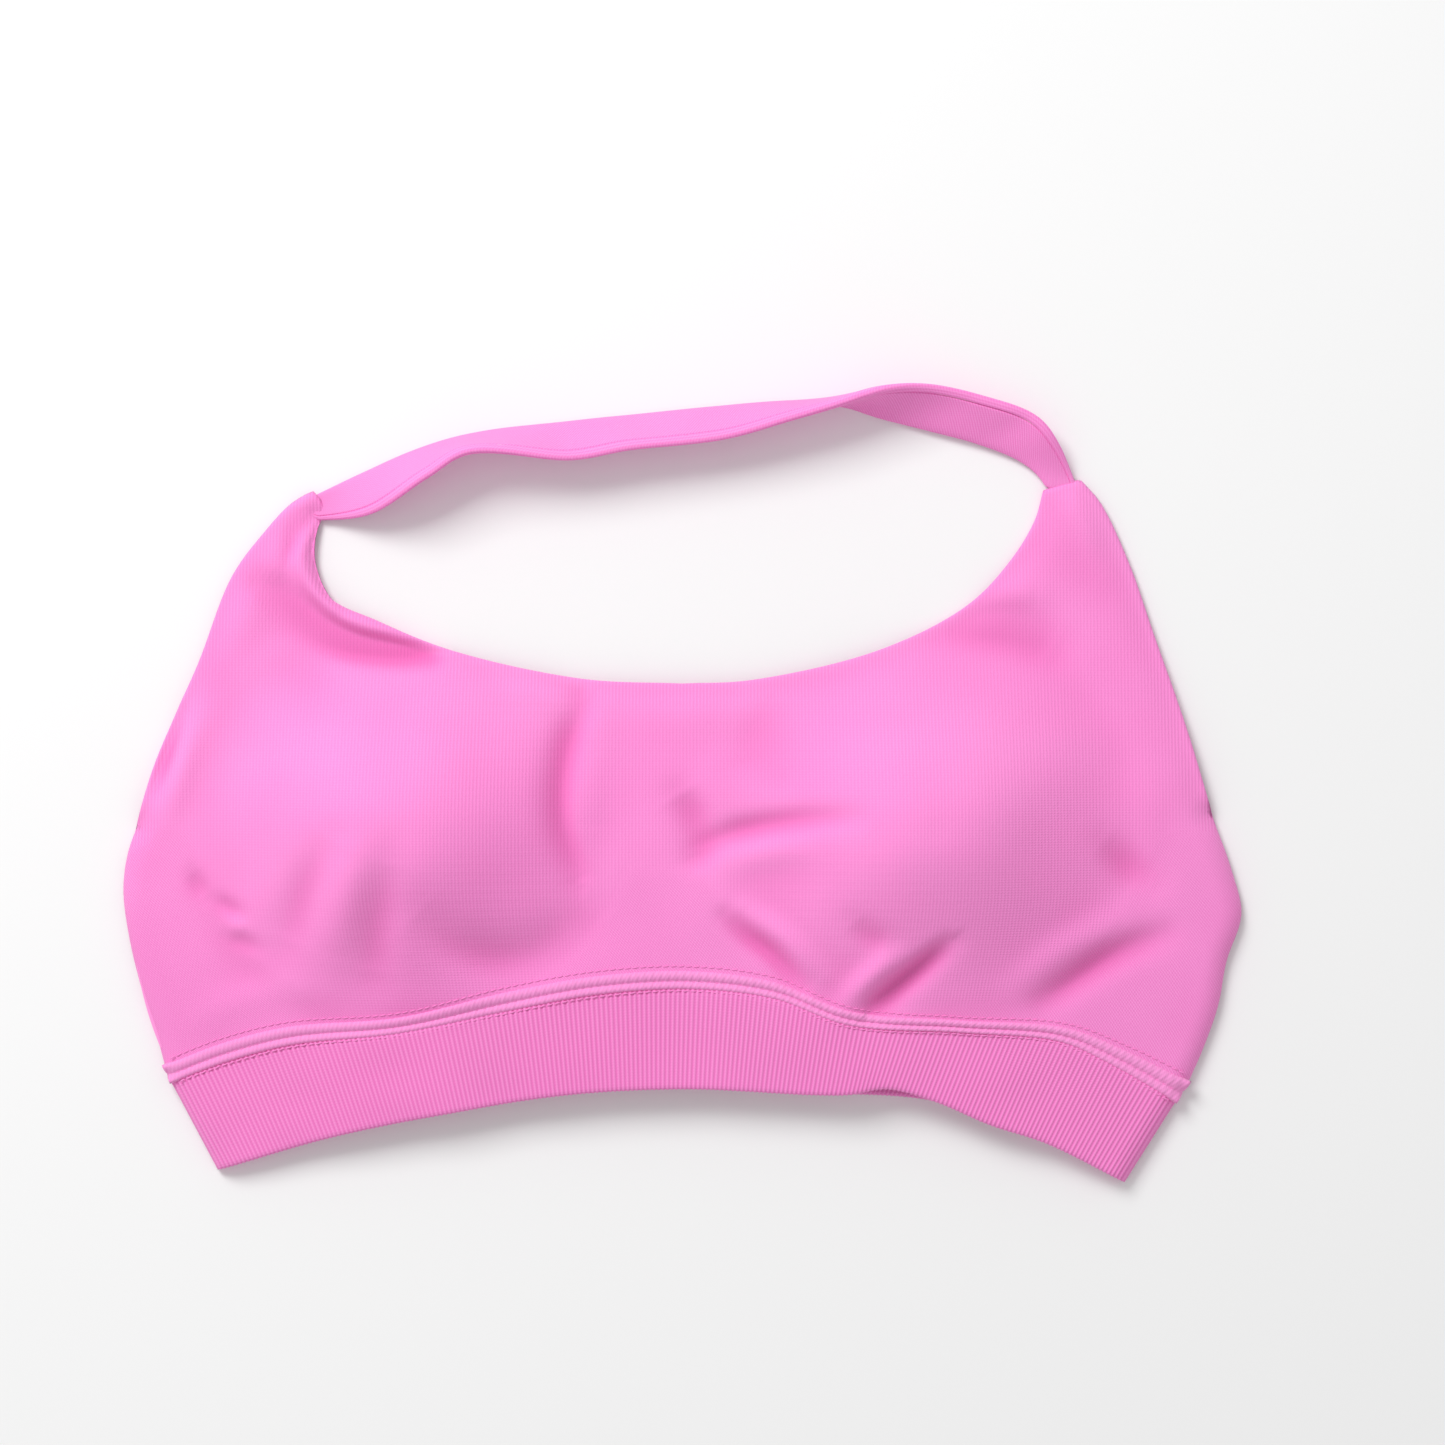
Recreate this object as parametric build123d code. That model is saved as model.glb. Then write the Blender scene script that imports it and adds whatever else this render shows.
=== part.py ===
"""Halter sports bra lying flat, front side up, with two moulded pads and a neck strap.

Millimetres. +X to the right, +Y towards the neck strap, +Z up from the table.
"""

from build123d import *
from math import hypot
import os

# ---------------------------------------------------------------- driving sizes
CLOTH = 1.1  # outer knit, doubled on itself
LINING = 0.8
PLY_GAP = 0.9  # air between the outer knit and the lining
CLEAR = 0.3  # gap between neighbouring pieces
LAYER_GAP = 0.25  # gap between the flat layers of the back and the bands
SEAM_INSET = 2.0
SEAM_WIDTH = 3.4
EDGE_HEIGHT = 7.0  # top of the front at its side folds
CROWN = 6.5  # how much higher the middle stands
SIDE_REACH = 192.0  # half width at which the cloth is down at its side folds
SIDE_REACH_Y = 38.0  # the sides draw in below this far under the origin
SIDE_TAPER = 0.38
UPPER_HEIGHT = 4.6  # top of the front near the neckline, where no back lies under it
UPPER_FROM, UPPER_TO = -20.0, 62.0  # the front settles to that height between these Y
DOME_HEIGHT = 23.0  # rise of a cup above the cloth round it
CUPS = {"left": (-93.0, -9.0), "right": (83.0, -7.0)}  # pad centres
CUP_REACH = (76.0, 66.0)  # half sizes of the raised cloth over a pad
LINING_SPREAD = 1.25  # the lining hangs free over this much more than a cup
LINING_SLACK = 1.7  # how far the lining hangs below the middle of a pad
PAD_HALF = (60.0, 47.0)
PAD_RIM = 1.5
PAD_CORE = 4.5  # extra thickness in the middle of a pad
PAD_BLANK, PAD_CUT = 40.0, 20.0  # depth of the blank that is hollowed, and how far past it the cut goes
PAD_CUTTER = (150.0, 140.0)
BACK_THICK = 1.3
BAND_RIB = 1.1
BAND_ELASTIC = 0.6
BAND_FACING = 0.8
SEAM_RISE = 1.0  # how far the band seam stands above the cloth
SEAM_DEPTH = 2.9
TAPE = 4.0  # width of the edge elastics
TAPE_THICK = 0.5
PLY_INSET = 1.2  # the inner plies end this far inside the outer knit
BAND_SEAM_BACK = 1.9  # thickness of the back half of the band seam
RIB_INSET_BACK = 0.4  # the back rib is drawn in at its sides and hem by this much
FACING_INSET = 0.6
ELASTIC_INSET = 1.6
STRAP_THICK = 3.2
STRAP_END_THICK = 2.0  # pressed thinner where it is sewn on
STRAP_WALL = 0.6
STRAP_WIDTH = 21.0
STRAP_FOLDED_EDGE = 2.0  # extra margin between the elastic and the strap's folded edges
STRAP_END_RISE = 0.8  # how far the rim stands above the foot at a join
STRAP_STATIONS = 41
STRAP_STANDS = (0.01, 0.14)  # shares of the length over which it rises on to its edge
STRAP_END_GAP = 0.3  # the strap's right end stops this far past the fold line
STRAP_ELASTIC_INSET = 1.5  # and its elastic this much further from either end
FOLD_HEIGHT = 1.8  # height of the line that the strap folds about
BACK_TOP_DIP = 4.0  # the back's upper edge sags this far between its ends
BACK_TAPE_SHARE = 0.965  # the tape along that edge spans this much of it
SHEET_X, SHEET_LOW, SHEET_HIGH = 200.0, -145.0, 135.0  # a height sheet spans these in X and Y
SHEET_STEP = 9.0
PRISM_LOW, PRISM_HIGH = -20.0, 90.0  # upright cutters reach past everything between these

# ---------------------------------------------------------------- outlines, seen from above
SIDE_LEFT = [(-170.3, -97.5), (-175.6, -89.0), (-180.2, -76.0), (-184.6, -56.0), (-186.6, -36.0),
             (-185.2, -24.0), (-181.8, -14.0)]
ARM_LEFT = [(-181.8, -14.0), (-175.2, 8.0), (-161.7, 39.0), (-150.2, 68.8), (-139.3, 83.7),
            (-130.7, 92.4), (-123.4, 97.0)]
NECK_LEFT = [(-121.8, 86.0), (-121.0, 79.5), (-121.6, 73.8), (-118.8, 63.9), (-101.6, 54.0),
             (-76.9, 44.1), (-33.3, 34.8), (0.0, 33.0)]
NECK_RIGHT = [(0.0, 33.0), (23.1, 34.2), (65.3, 44.1), (94.7, 58.9), (109.2, 73.8),
              (117.4, 87.5), (120.3, 96.9)]
ARM_RIGHT = [(135.4, 97.4), (139.3, 93.0), (148.8, 73.8), (157.4, 49.0), (167.6, 19.3),
             (176.2, -9.5)]
SIDE_RIGHT = [(176.2, -9.5), (183.6, -30.0), (186.6, -44.0), (183.4, -57.0), (178.4, -76.0),
              (166.0, -101.5)]
SEAM_TOP = [(-172.5, -93.0), (-153.5, -85.6), (-131.3, -80.2), (-93.5, -76.8), (-60.0, -68.6),
            (-27.9, -62.9), (2.0, -61.4), (29.8, -64.8), (56.0, -74.8), (91.7, -77.6),
            (127.0, -80.2), (147.0, -87.6), (168.6, -98.4)]
SEAM_BOTTOM = [(-170.2, -99.6), (-151.0, -92.4), (-129.5, -86.8), (-93.5, -82.8), (-60.0, -75.8),
               (-27.5, -69.8), (2.0, -68.2), (30.0, -71.4), (55.0, -80.2), (92.0, -82.6),
               (124.7, -85.8), (140.0, -92.6), (163.6, -106.2)]
BAND_HEM = [(-155.0, -129.0), (-116.0, -117.6), (-76.7, -109.4), (-37.0, -103.2), (2.5, -101.3),
            (42.0, -103.2), (84.3, -106.0), (121.0, -119.6), (147.2, -133.0)]
FRONT_HEM_LIFT = [(42.0, -103.2), (68.0, -101.4), (84.3, -105.6)]

# The strap's edge on the table and its raised edge, from the left join to the right join.
STRAP_FOOT = [(-124.6, 94.9), (-106.0, 103.6), (-86.2, 111.7), (-66.4, 116.7), (-37.0, 120.4),
              (-17.0, 122.4), (12.4, 125.3), (36.0, 126.6), (52.0, 126.2), (66.0, 121.6),
              (81.2, 117.6), (97.6, 113.2), (111.8, 107.6), (118.2, 102.8), (122.6, 96.6)]
STRAP_RIM = [(-124.2, 87.2), (-103.0, 89.2), (-83.6, 100.9), (-70.0, 108.8), (-36.6, 106.8),
             (-16.2, 110.2), (13.6, 113.6), (35.0, 119.6), (52.0, 125.0), (69.0, 130.6),
             (81.8, 131.6), (99.6, 128.2), (117.6, 121.6), (125.4, 112.2), (132.4, 97.2)]


# ---------------------------------------------------------------- the shape of the laid front
def smoothstep(low, high, value):
    t = min(1.0, max(0.0, (value - low) / (high - low)))
    return t * t * (3.0 - 2.0 * t)


def dome(x, y, reach):
    """Sum over both cups of a soft bump that is 1 at a cup's centre and 0 past its reach."""
    total = 0.0
    for cx, cy in CUPS.values():
        r2 = ((x - cx) / (CUP_REACH[0] * reach)) ** 2 + ((y - cy) / (CUP_REACH[1] * reach)) ** 2
        total += max(0.0, 1.0 - r2) ** 2
    return total


def front_top(x, y):
    """Height of the outer knit's upper face."""
    half = SIDE_REACH - SIDE_TAPER * max(0.0, -SIDE_REACH_Y - y)
    torso = EDGE_HEIGHT + CROWN * max(0.0, 1.0 - (x / half) ** 4) ** 2
    upper = smoothstep(UPPER_FROM, UPPER_TO, y)
    ground = torso + (UPPER_HEIGHT - torso) * upper
    return ground + DOME_HEIGHT * dome(x, y, 1.0)


def outer_under(x, y):
    return front_top(x, y) - CLOTH


def pad_top(x, y):
    return outer_under(x, y) - CLEAR


def pad_under(x, y):
    return pad_top(x, y) - PAD_RIM - PAD_CORE * dome(x, y, 1.0)


def lining_top(x, y):
    return outer_under(x, y) - PLY_GAP - (PAD_CORE + LINING_SLACK) * dome(x, y, LINING_SPREAD)


def height_face(height):
    """A smooth sheet that follows a height function over the whole garment."""
    columns = round(2 * SHEET_X / SHEET_STEP) + 1
    rows = round((SHEET_HIGH - SHEET_LOW) / SHEET_STEP) + 1
    across = [SHEET_X * (2 * i / (columns - 1) - 1) for i in range(columns)]
    along = [SHEET_LOW + (SHEET_HIGH - SHEET_LOW) * j / (rows - 1) for j in range(rows)]
    grid = [[Vector(x, y, height(x, y)) for x in across] for y in along]
    return Face.make_surface_from_array_of_points(grid, tol=0.02)


def outline_prism(runs, low=PRISM_LOW, high=PRISM_HIGH):
    """An upright block whose plan is closed by the given runs of points, each a smooth curve."""
    edges = []
    for run in runs:
        points = [Vector(x, y, low) for x, y in run]
        edges.append(Spline(points) if len(points) > 2 else Line(points))
    joined = []
    for here, after in zip(edges, edges[1:] + edges[:1]):
        joined.append(here)
        if (here @ 1 - after @ 0).length > 0.01:
            joined.append(Line(here @ 1, after @ 0))
    return extrude(make_face(Wire(joined)), high - low, dir=(0, 0, 1))


def ply(surface, plan, thickness):
    """The piece of cloth of one thickness that hangs below a surface inside a plan."""
    face = (surface & plan).faces().sort_by(SortBy.AREA)[-1]
    return Solid.extrude(face, Vector(0, 0, -thickness))


def shifted(points, distance):
    """The run of points moved sideways, to the left of its direction for a positive distance."""
    moved = []
    for i, (x, y) in enumerate(points):
        x0, y0 = points[max(0, i - 1)]
        x1, y1 = points[min(len(points) - 1, i + 1)]
        run = hypot(x1 - x0, y1 - y0)
        moved.append((x - (y1 - y0) / run * distance, y + (x1 - x0) / run * distance))
    return moved


def strip(points, inner, width):
    """Plan of a tape of one width that follows a run at a distance to its right."""
    near = shifted(points, -inner)
    far = shifted(points, -inner - width)
    return [near, far[::-1]]


# ---------------------------------------------------------------- line that the strap folds about
JOIN_LEFT = Vector(-121.0, 91.6, FOLD_HEIGHT)
JOIN_RIGHT = Vector(126.6, 99.3, FOLD_HEIGHT)
fold_plane = Plane(origin=JOIN_LEFT, x_dir=JOIN_RIGHT - JOIN_LEFT, z_dir=(0, 0, 1))

# ---------------------------------------------------------------- front of the body
side_left_low = [SEAM_TOP[0]] + SIDE_LEFT[2:]
side_right_low = SIDE_RIGHT[:-2] + [SEAM_TOP[-1]]
FRONT_PLAN = [side_left_low, ARM_LEFT, [ARM_LEFT[-1], NECK_LEFT[0]], NECK_LEFT, NECK_RIGHT,
              [NECK_RIGHT[-1], ARM_RIGHT[0]], ARM_RIGHT, side_right_low, SEAM_TOP[::-1]]

top_sheet = height_face(front_top)
front_prism = outline_prism(FRONT_PLAN)
front_outer_panel = ply(top_sheet, front_prism, CLOTH)

lining_plan = [shifted(run, -PLY_INSET) for run in FRONT_PLAN]
lining_sheet = height_face(lining_top)
front_lining_panel = ply(lining_sheet, outline_prism(lining_plan), LINING)

pads = {}
pad_sheet = height_face(pad_top)
pad_floor = height_face(pad_under)
for side, (cup_x, cup_y) in CUPS.items():
    place = Pos(cup_x, cup_y, PRISM_LOW)
    disc = place * extrude(Ellipse(*PAD_HALF), PRISM_HIGH - PRISM_LOW)
    surround = place * extrude(Rectangle(*PAD_CUTTER), PRISM_HIGH - PRISM_LOW)
    blank = ply(pad_sheet, disc, PAD_BLANK)
    below = ply(pad_floor, surround, PAD_BLANK + PAD_CUT)
    pads[side] = (blank - below).solids().sort_by(SortBy.VOLUME)[-1]


def sheet_tape(height_drop, plan, thickness):
    """A narrow tape lying at a fixed depth below the front's upper face."""
    return ply(Pos(0, 0, -height_drop) * top_sheet, outline_prism(plan), thickness)


tape_depth = CLOTH + (PLY_GAP - TAPE_THICK) / 2
left_armhole_elastic = sheet_tape(tape_depth, strip(ARM_LEFT[1:-1], PLY_INSET + CLEAR, TAPE), TAPE_THICK)
right_armhole_elastic = sheet_tape(tape_depth, strip(ARM_RIGHT[1:-1], PLY_INSET + CLEAR, TAPE), TAPE_THICK)
neckline = NECK_LEFT[3:] + NECK_RIGHT[1:-1]
neckline_elastic = sheet_tape(tape_depth, strip(neckline, PLY_INSET + CLEAR, TAPE), TAPE_THICK)

# ---------------------------------------------------------------- band
seam_plan = [shifted(SEAM_TOP, -CLEAR), shifted(SEAM_BOTTOM, CLEAR)[::-1]]
front_band_seam = ply(Pos(0, 0, SEAM_RISE) * top_sheet, outline_prism(seam_plan), SEAM_DEPTH)
front_hem = [p for p in BAND_HEM if p[0] < FRONT_HEM_LIFT[0][0]] + FRONT_HEM_LIFT
front_hem += [p for p in BAND_HEM if p[0] > FRONT_HEM_LIFT[-1][0]]


def band_plan(margin, hem):
    """Plan of one band layer, drawn in from the sides and the hem by a margin."""
    upper = shifted(SEAM_BOTTOM, -CLEAR)
    lower = shifted(hem, margin)
    upper[0] = (upper[0][0] + margin, upper[0][1])
    upper[-1] = (upper[-1][0] - margin, upper[-1][1])
    lower[0] = (lower[0][0] + margin, lower[0][1])
    lower[-1] = (lower[-1][0] - margin, lower[-1][1])
    return [upper, lower[::-1]]


elastic_drop = BAND_RIB + LAYER_GAP
facing_drop = elastic_drop + BAND_ELASTIC + LAYER_GAP
front_band_rib = ply(top_sheet, outline_prism(band_plan(0.0, front_hem)), BAND_RIB)
front_band_elastic = sheet_tape(elastic_drop, band_plan(ELASTIC_INSET, front_hem), BAND_ELASTIC)
front_band_facing = sheet_tape(facing_drop, band_plan(FACING_INSET, front_hem), BAND_FACING)


def back_layer(margin, low, thickness):
    """One flat layer of the back half of the band."""
    return outline_prism(band_plan(RIB_INSET_BACK + margin, BAND_HEM), low, low + thickness)


back_band_rib = back_layer(0.0, 0.0, BAND_RIB)
back_band_elastic = back_layer(ELASTIC_INSET, elastic_drop, BAND_ELASTIC)
back_band_facing = back_layer(FACING_INSET, facing_drop, BAND_FACING)

# ---------------------------------------------------------------- back of the body
back_top = [ARM_LEFT[0], (-90.0, -13.0 - BACK_TOP_DIP * 0.7), (0.0, -12.0 - BACK_TOP_DIP),
            (90.0, -11.0 - BACK_TOP_DIP * 0.7), ARM_RIGHT[-1]]
back_plan = [side_left_low, back_top, side_right_low, SEAM_TOP[::-1]]
back_panel = outline_prism(back_plan, 0.0, BACK_THICK)
back_band_seam = outline_prism(seam_plan, 0.0, BAND_SEAM_BACK)
back_inset = [(x * BACK_TAPE_SHARE, y) for x, y in back_top]
back_face = BACK_THICK + LAYER_GAP
back_top_elastic = outline_prism(strip(back_inset, SEAM_INSET, TAPE), back_face, back_face + TAPE_THICK)


# ---------------------------------------------------------------- side seams, closing the tube
def side_seam(run):
    """The folded seam allowance standing between the back and the front along one side."""
    plan = outline_prism(strip(run, SEAM_INSET, SEAM_WIDTH))
    hanging = ply(Pos(0, 0, -LINING - CLEAR) * lining_sheet, plan, PRISM_HIGH)
    table = Box(2 * SHEET_X, 2 * SHEET_X, PRISM_HIGH, align=(Align.CENTER, Align.CENTER, Align.MAX))
    return (hanging - Pos(0, 0, back_face) * table).solids().sort_by(SortBy.VOLUME)[-1]


left_side_seam = side_seam(SIDE_LEFT[1:-1])
right_side_seam = side_seam(SIDE_RIGHT[1:-1])

# ---------------------------------------------------------------- care label, left blank
LABEL = (34.0, 16.0, 0.3)
LABEL_PLACE = (0.0, -44.0, back_face)
care_label = Pos(*LABEL_PLACE) * Box(*LABEL, align=(Align.CENTER, Align.CENTER, Align.MIN))


# ---------------------------------------------------------------- neck strap
foot_line = Spline([Vector(x, y, 0) for x, y in STRAP_FOOT])
rim_line = Spline([Vector(x, y, 0) for x, y in STRAP_RIM])


def strap_ring(share, wall, margin):
    """Cross-section at one share of the length, thinned by a wall and drawn in by a margin."""
    foot, rim = foot_line @ share, rim_line @ share
    ahead = (foot_line % share + rim_line % share).normalized()
    away = smoothstep(*STRAP_STANDS, min(share, 1.0 - share))
    across = rim - foot
    full_rise = max(0.0, STRAP_WIDTH ** 2 - across.length ** 2) ** 0.5
    edge = across + Vector(0, 0, STRAP_END_RISE + (full_rise - STRAP_END_RISE) * away)
    thick = STRAP_END_THICK + (STRAP_THICK - STRAP_END_THICK) * away
    face = ahead.cross(edge).normalized()
    base = foot + Vector(0, 0, CLEAR + abs(face.Z) * thick / 2)
    half = face * (thick / 2 - wall)
    low = base + edge.normalized() * margin
    high = base + edge - edge.normalized() * margin
    return Wire.make_polygon([low - half, high - half, high + half, low + half], close=True)


def strap_loft(wall, margin):
    shares = [k / (STRAP_STATIONS - 1) for k in range(STRAP_STATIONS)]
    return Solid.make_loft([strap_ring(share, wall, margin) for share in shares], ruled=True)


def between_joins(body, inset):
    """Trim the strap square at the left join and along the fold line at the right one."""
    span = (JOIN_RIGHT - JOIN_LEFT).length
    keep = fold_plane * Pos(inset + span, 0, 0) * Box(2 * span, 2 * span, span)
    edge = STRAP_END_GAP + inset
    drop = fold_plane * Pos(span, edge - span, 0) * Box(span, 2 * span, span)
    return ((body & keep) - drop).solids().sort_by(SortBy.VOLUME)[-1]


neck_strap_cover = between_joins(strap_loft(0.0, 0.0) - strap_loft(STRAP_WALL, STRAP_WALL), 0.0)
elastic_core = strap_loft(STRAP_WALL + LAYER_GAP, STRAP_WALL + STRAP_FOLDED_EDGE)
neck_strap_elastic = between_joins(elastic_core, STRAP_ELASTIC_INSET)

parts = {
    "front_outer_panel": front_outer_panel,
    "front_lining_panel": front_lining_panel,
    "left_pad": pads["left"],
    "right_pad": pads["right"],
    "left_armhole_elastic": left_armhole_elastic,
    "right_armhole_elastic": right_armhole_elastic,
    "neckline_elastic": neckline_elastic,
    "front_band_seam": front_band_seam,
    "front_band_rib": front_band_rib,
    "front_band_elastic": front_band_elastic,
    "front_band_facing": front_band_facing,
    "back_panel": back_panel,
    "back_top_elastic": back_top_elastic,
    "back_band_seam": back_band_seam,
    "back_band_rib": back_band_rib,
    "back_band_elastic": back_band_elastic,
    "back_band_facing": back_band_facing,
    "left_side_seam": left_side_seam,
    "right_side_seam": right_side_seam,
    "care_label": care_label,
    "neck_strap_cover": neck_strap_cover,
    "neck_strap_elastic": neck_strap_elastic,
}

os.makedirs("parts", exist_ok=True)
for name, shape in parts.items():
    export_step(shape, f"parts/{name}.step")
    print(name, round(shape.volume), shape.bounding_box().min, shape.bounding_box().max)
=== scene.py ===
"""Halter sports bra lying flat, front up: knitted cloth, moulded pads, ribbed band and neck strap."""

import math

import bmesh
import bpy
import numpy as np
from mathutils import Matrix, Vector
from mathutils.bvhtree import BVHTree


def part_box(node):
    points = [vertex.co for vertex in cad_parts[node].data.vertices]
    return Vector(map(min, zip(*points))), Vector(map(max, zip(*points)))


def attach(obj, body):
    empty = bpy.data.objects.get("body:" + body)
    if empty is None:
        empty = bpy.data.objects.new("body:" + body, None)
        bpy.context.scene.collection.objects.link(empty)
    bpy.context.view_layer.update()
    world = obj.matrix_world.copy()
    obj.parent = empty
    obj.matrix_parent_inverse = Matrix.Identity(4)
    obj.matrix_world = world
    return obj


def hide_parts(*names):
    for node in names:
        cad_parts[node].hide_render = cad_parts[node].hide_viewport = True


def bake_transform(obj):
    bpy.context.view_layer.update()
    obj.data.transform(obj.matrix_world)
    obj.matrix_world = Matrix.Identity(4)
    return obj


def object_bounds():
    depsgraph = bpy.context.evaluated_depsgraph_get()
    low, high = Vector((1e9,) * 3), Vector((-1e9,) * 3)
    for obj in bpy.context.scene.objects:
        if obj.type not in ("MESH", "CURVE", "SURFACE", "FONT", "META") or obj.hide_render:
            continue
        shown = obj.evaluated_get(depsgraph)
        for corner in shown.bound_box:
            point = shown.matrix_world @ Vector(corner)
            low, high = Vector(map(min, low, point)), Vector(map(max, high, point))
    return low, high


bl_info = {
    "name": "Halter Sports Bra",
    "version": (1, 0, 0),
    "blender": (4, 5, 0),
    "location": "View3D > Sidebar > Garment",
    "description": "Dresses a packed garment frame with knit cloth, pads, ribbed band and strap",
    "category": "Object",
}

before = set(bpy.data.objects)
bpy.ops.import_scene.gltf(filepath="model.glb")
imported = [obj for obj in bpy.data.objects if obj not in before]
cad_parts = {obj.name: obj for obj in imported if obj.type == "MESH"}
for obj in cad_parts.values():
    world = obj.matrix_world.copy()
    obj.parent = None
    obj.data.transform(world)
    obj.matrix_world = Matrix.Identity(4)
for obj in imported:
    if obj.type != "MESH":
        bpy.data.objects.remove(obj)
CAD_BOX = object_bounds()
MM = 0.001

# ------------------------------------------------------------------ outlines, in millimetres
# Each run has only the points that its curve needs, in the garment's own frame.
SIDE_LEFT = [(-171.4, -94.0), (-175.6, -84.0), (-180.2, -70.0), (-184.6, -52.0), (-186.6, -36.0),
             (-185.2, -24.0), (-181.8, -14.0)]
ARM_LEFT = [(-181.8, -14.0), (-175.2, 8.0), (-161.7, 39.0), (-150.2, 68.8), (-139.3, 83.7),
            (-130.7, 92.9), (-123.2, 97.4)]
NECK_LEFT = [(-121.4, 86.0), (-123.0, 80.5), (-122.9, 75.0), (-117.6, 62.0), (-101.6, 54.0),
             (-76.9, 44.1), (-33.3, 34.6), (0.0, 33.0)]
NECK_RIGHT = [(0.0, 33.0), (23.1, 34.2), (65.3, 44.1), (94.7, 58.9), (109.2, 73.8),
              (117.6, 87.5), (120.4, 97.6)]
ARM_RIGHT = [(132.6, 101.2), (139.3, 93.6), (148.8, 73.8), (157.4, 49.0), (167.6, 19.3),
             (176.2, -9.5)]
SIDE_RIGHT = [(167.4, -99.5), (174.6, -87.0), (179.0, -74.0), (181.6, -60.0), (186.6, -44.0),
              (183.6, -30.0), (176.2, -9.5)]
SEAM_TOP = [(-173.2, -94.0), (-153.5, -86.2), (-131.3, -80.4), (-93.5, -77.0), (-60.0, -69.0),
            (-27.9, -63.2), (2.0, -61.6), (29.8, -65.0), (56.0, -75.0), (91.7, -78.0),
            (127.0, -80.6), (147.0, -88.2), (169.4, -99.4)]
SEAM_BOTTOM = [(-170.4, -100.2), (-151.0, -93.0), (-129.5, -87.2), (-93.5, -83.2), (-60.0, -76.2),
               (-27.5, -70.2), (2.0, -68.4), (30.0, -71.6), (55.0, -80.4), (92.0, -82.8),
               (124.7, -86.0), (140.0, -92.8), (164.4, -106.8)]
HEM_BACK = [(-155.0, -129.2), (-116.0, -117.6), (-76.7, -109.4), (-37.0, -103.2), (2.5, -101.3),
            (42.0, -103.6), (84.3, -106.4), (121.0, -119.8), (147.6, -133.3)]
HEM_FRONT = [(-155.0, -129.2), (-116.0, -117.6), (-76.7, -109.4), (-37.0, -103.2), (2.5, -101.3),
             (42.0, -103.2), (55.0, -103.2), (68.0, -101.4), (84.3, -105.8), (101.5, -113.2),
             (121.0, -119.8), (147.6, -133.3)]
BACK_TOP = [(-181.8, -14.0), (-90.0, -15.8), (0.0, -16.0), (90.0, -13.8), (176.2, -9.5)]
STRAP_FOOT = [(-124.6, 94.9), (-106.0, 103.6), (-86.2, 111.7), (-66.4, 116.7), (-37.0, 120.4),
              (-17.0, 122.4), (12.4, 125.3), (36.0, 126.6), (52.0, 126.2), (66.0, 121.6),
              (81.2, 117.6), (97.6, 113.2), (111.8, 107.6), (118.2, 102.8), (122.6, 96.6)]
STRAP_RIM = [(-124.2, 87.2), (-103.0, 89.2), (-83.6, 100.9), (-70.0, 108.8), (-36.6, 106.8),
             (-16.2, 110.2), (13.6, 113.6), (35.0, 119.6), (52.0, 125.0), (69.0, 130.6),
             (81.8, 131.6), (99.6, 128.2), (117.6, 121.6), (125.4, 112.2), (132.4, 97.2)]


# ------------------------------------------------------------------ curves
def smooth_line(points, count):
    """Evenly spaced points along a smooth curve through the given ones, in metres."""
    p = np.asarray(points, float) * MM
    if len(p) == 2:
        t = np.linspace(0, 1, count)[:, None]
        return p[0] * (1 - t) + p[1] * t
    first, last = 2 * p[0] - p[1], 2 * p[-1] - p[-2]
    q = np.vstack([first, p, last])
    out = []
    for i in range(1, len(q) - 2):
        knots = np.cumsum([0.0] + [max(1e-9, np.linalg.norm(q[i + k] - q[i + k - 1])) ** 0.5
                                   for k in range(0, 3)])
        t = np.linspace(knots[1], knots[2], 40, endpoint=False)[:, None]
        k0, k1, k2, k3 = knots
        a1 = (k1 - t) / (k1 - k0) * q[i - 1] + (t - k0) / (k1 - k0) * q[i]
        a2 = (k2 - t) / (k2 - k1) * q[i] + (t - k1) / (k2 - k1) * q[i + 1]
        a3 = (k3 - t) / (k3 - k2) * q[i + 1] + (t - k2) / (k3 - k2) * q[i + 2]
        b1 = (k2 - t) / (k2 - k0) * a1 + (t - k0) / (k2 - k0) * a2
        b2 = (k3 - t) / (k3 - k1) * a2 + (t - k1) / (k3 - k1) * a3
        out.append((k2 - t) / (k2 - k1) * b1 + (t - k1) / (k2 - k1) * b2)
    dense = np.vstack(out + [q[-2][None]])
    return resample(dense, count)


def resample(line, count):
    """The same polyline with evenly spaced points."""
    run = np.concatenate([[0], np.cumsum(np.linalg.norm(np.diff(line, axis=0), axis=1))])
    at = np.linspace(0, run[-1], count)
    return np.column_stack([np.interp(at, run, line[:, k]) for k in range(line.shape[1])])


def at_share(line, shares):
    """Points of an evenly spaced polyline at shares of its length from 0 to 1."""
    index = np.clip(shares, 0, 1) * (len(line) - 1)
    grid = np.arange(len(line))
    return np.column_stack([np.interp(index, grid, line[:, k]) for k in range(line.shape[1])])


def line_length(line):
    return float(np.linalg.norm(np.diff(line, axis=0), axis=1).sum())


def distance_to(points, line):
    """Distance in plan from each point to a polyline, with the share along it."""
    best = np.full(len(points), 1e9)
    share = np.zeros(len(points))
    spans = len(line) - 1
    for i in range(spans):
        a, b = line[i, :2], line[i + 1, :2]
        ab = b - a
        t = np.clip(((points[:, :2] - a) @ ab) / max(1e-18, ab @ ab), 0, 1)
        d = np.linalg.norm(points[:, :2] - a - t[:, None] * ab, axis=1)
        near = d < best
        best[near] = d[near]
        share[near] = (i + t[near]) / spans
    return best, share


def smoothstep(low, high, value):
    t = np.clip((value - low) / (high - low), 0, 1)
    return t * t * (3 - 2 * t)


def rounded(share):
    """Quarter-circle rise from 0 to 1, for a border that is rounded like a fold."""
    return np.sqrt(np.clip(1 - (1 - share) ** 2, 0, 1))


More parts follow.
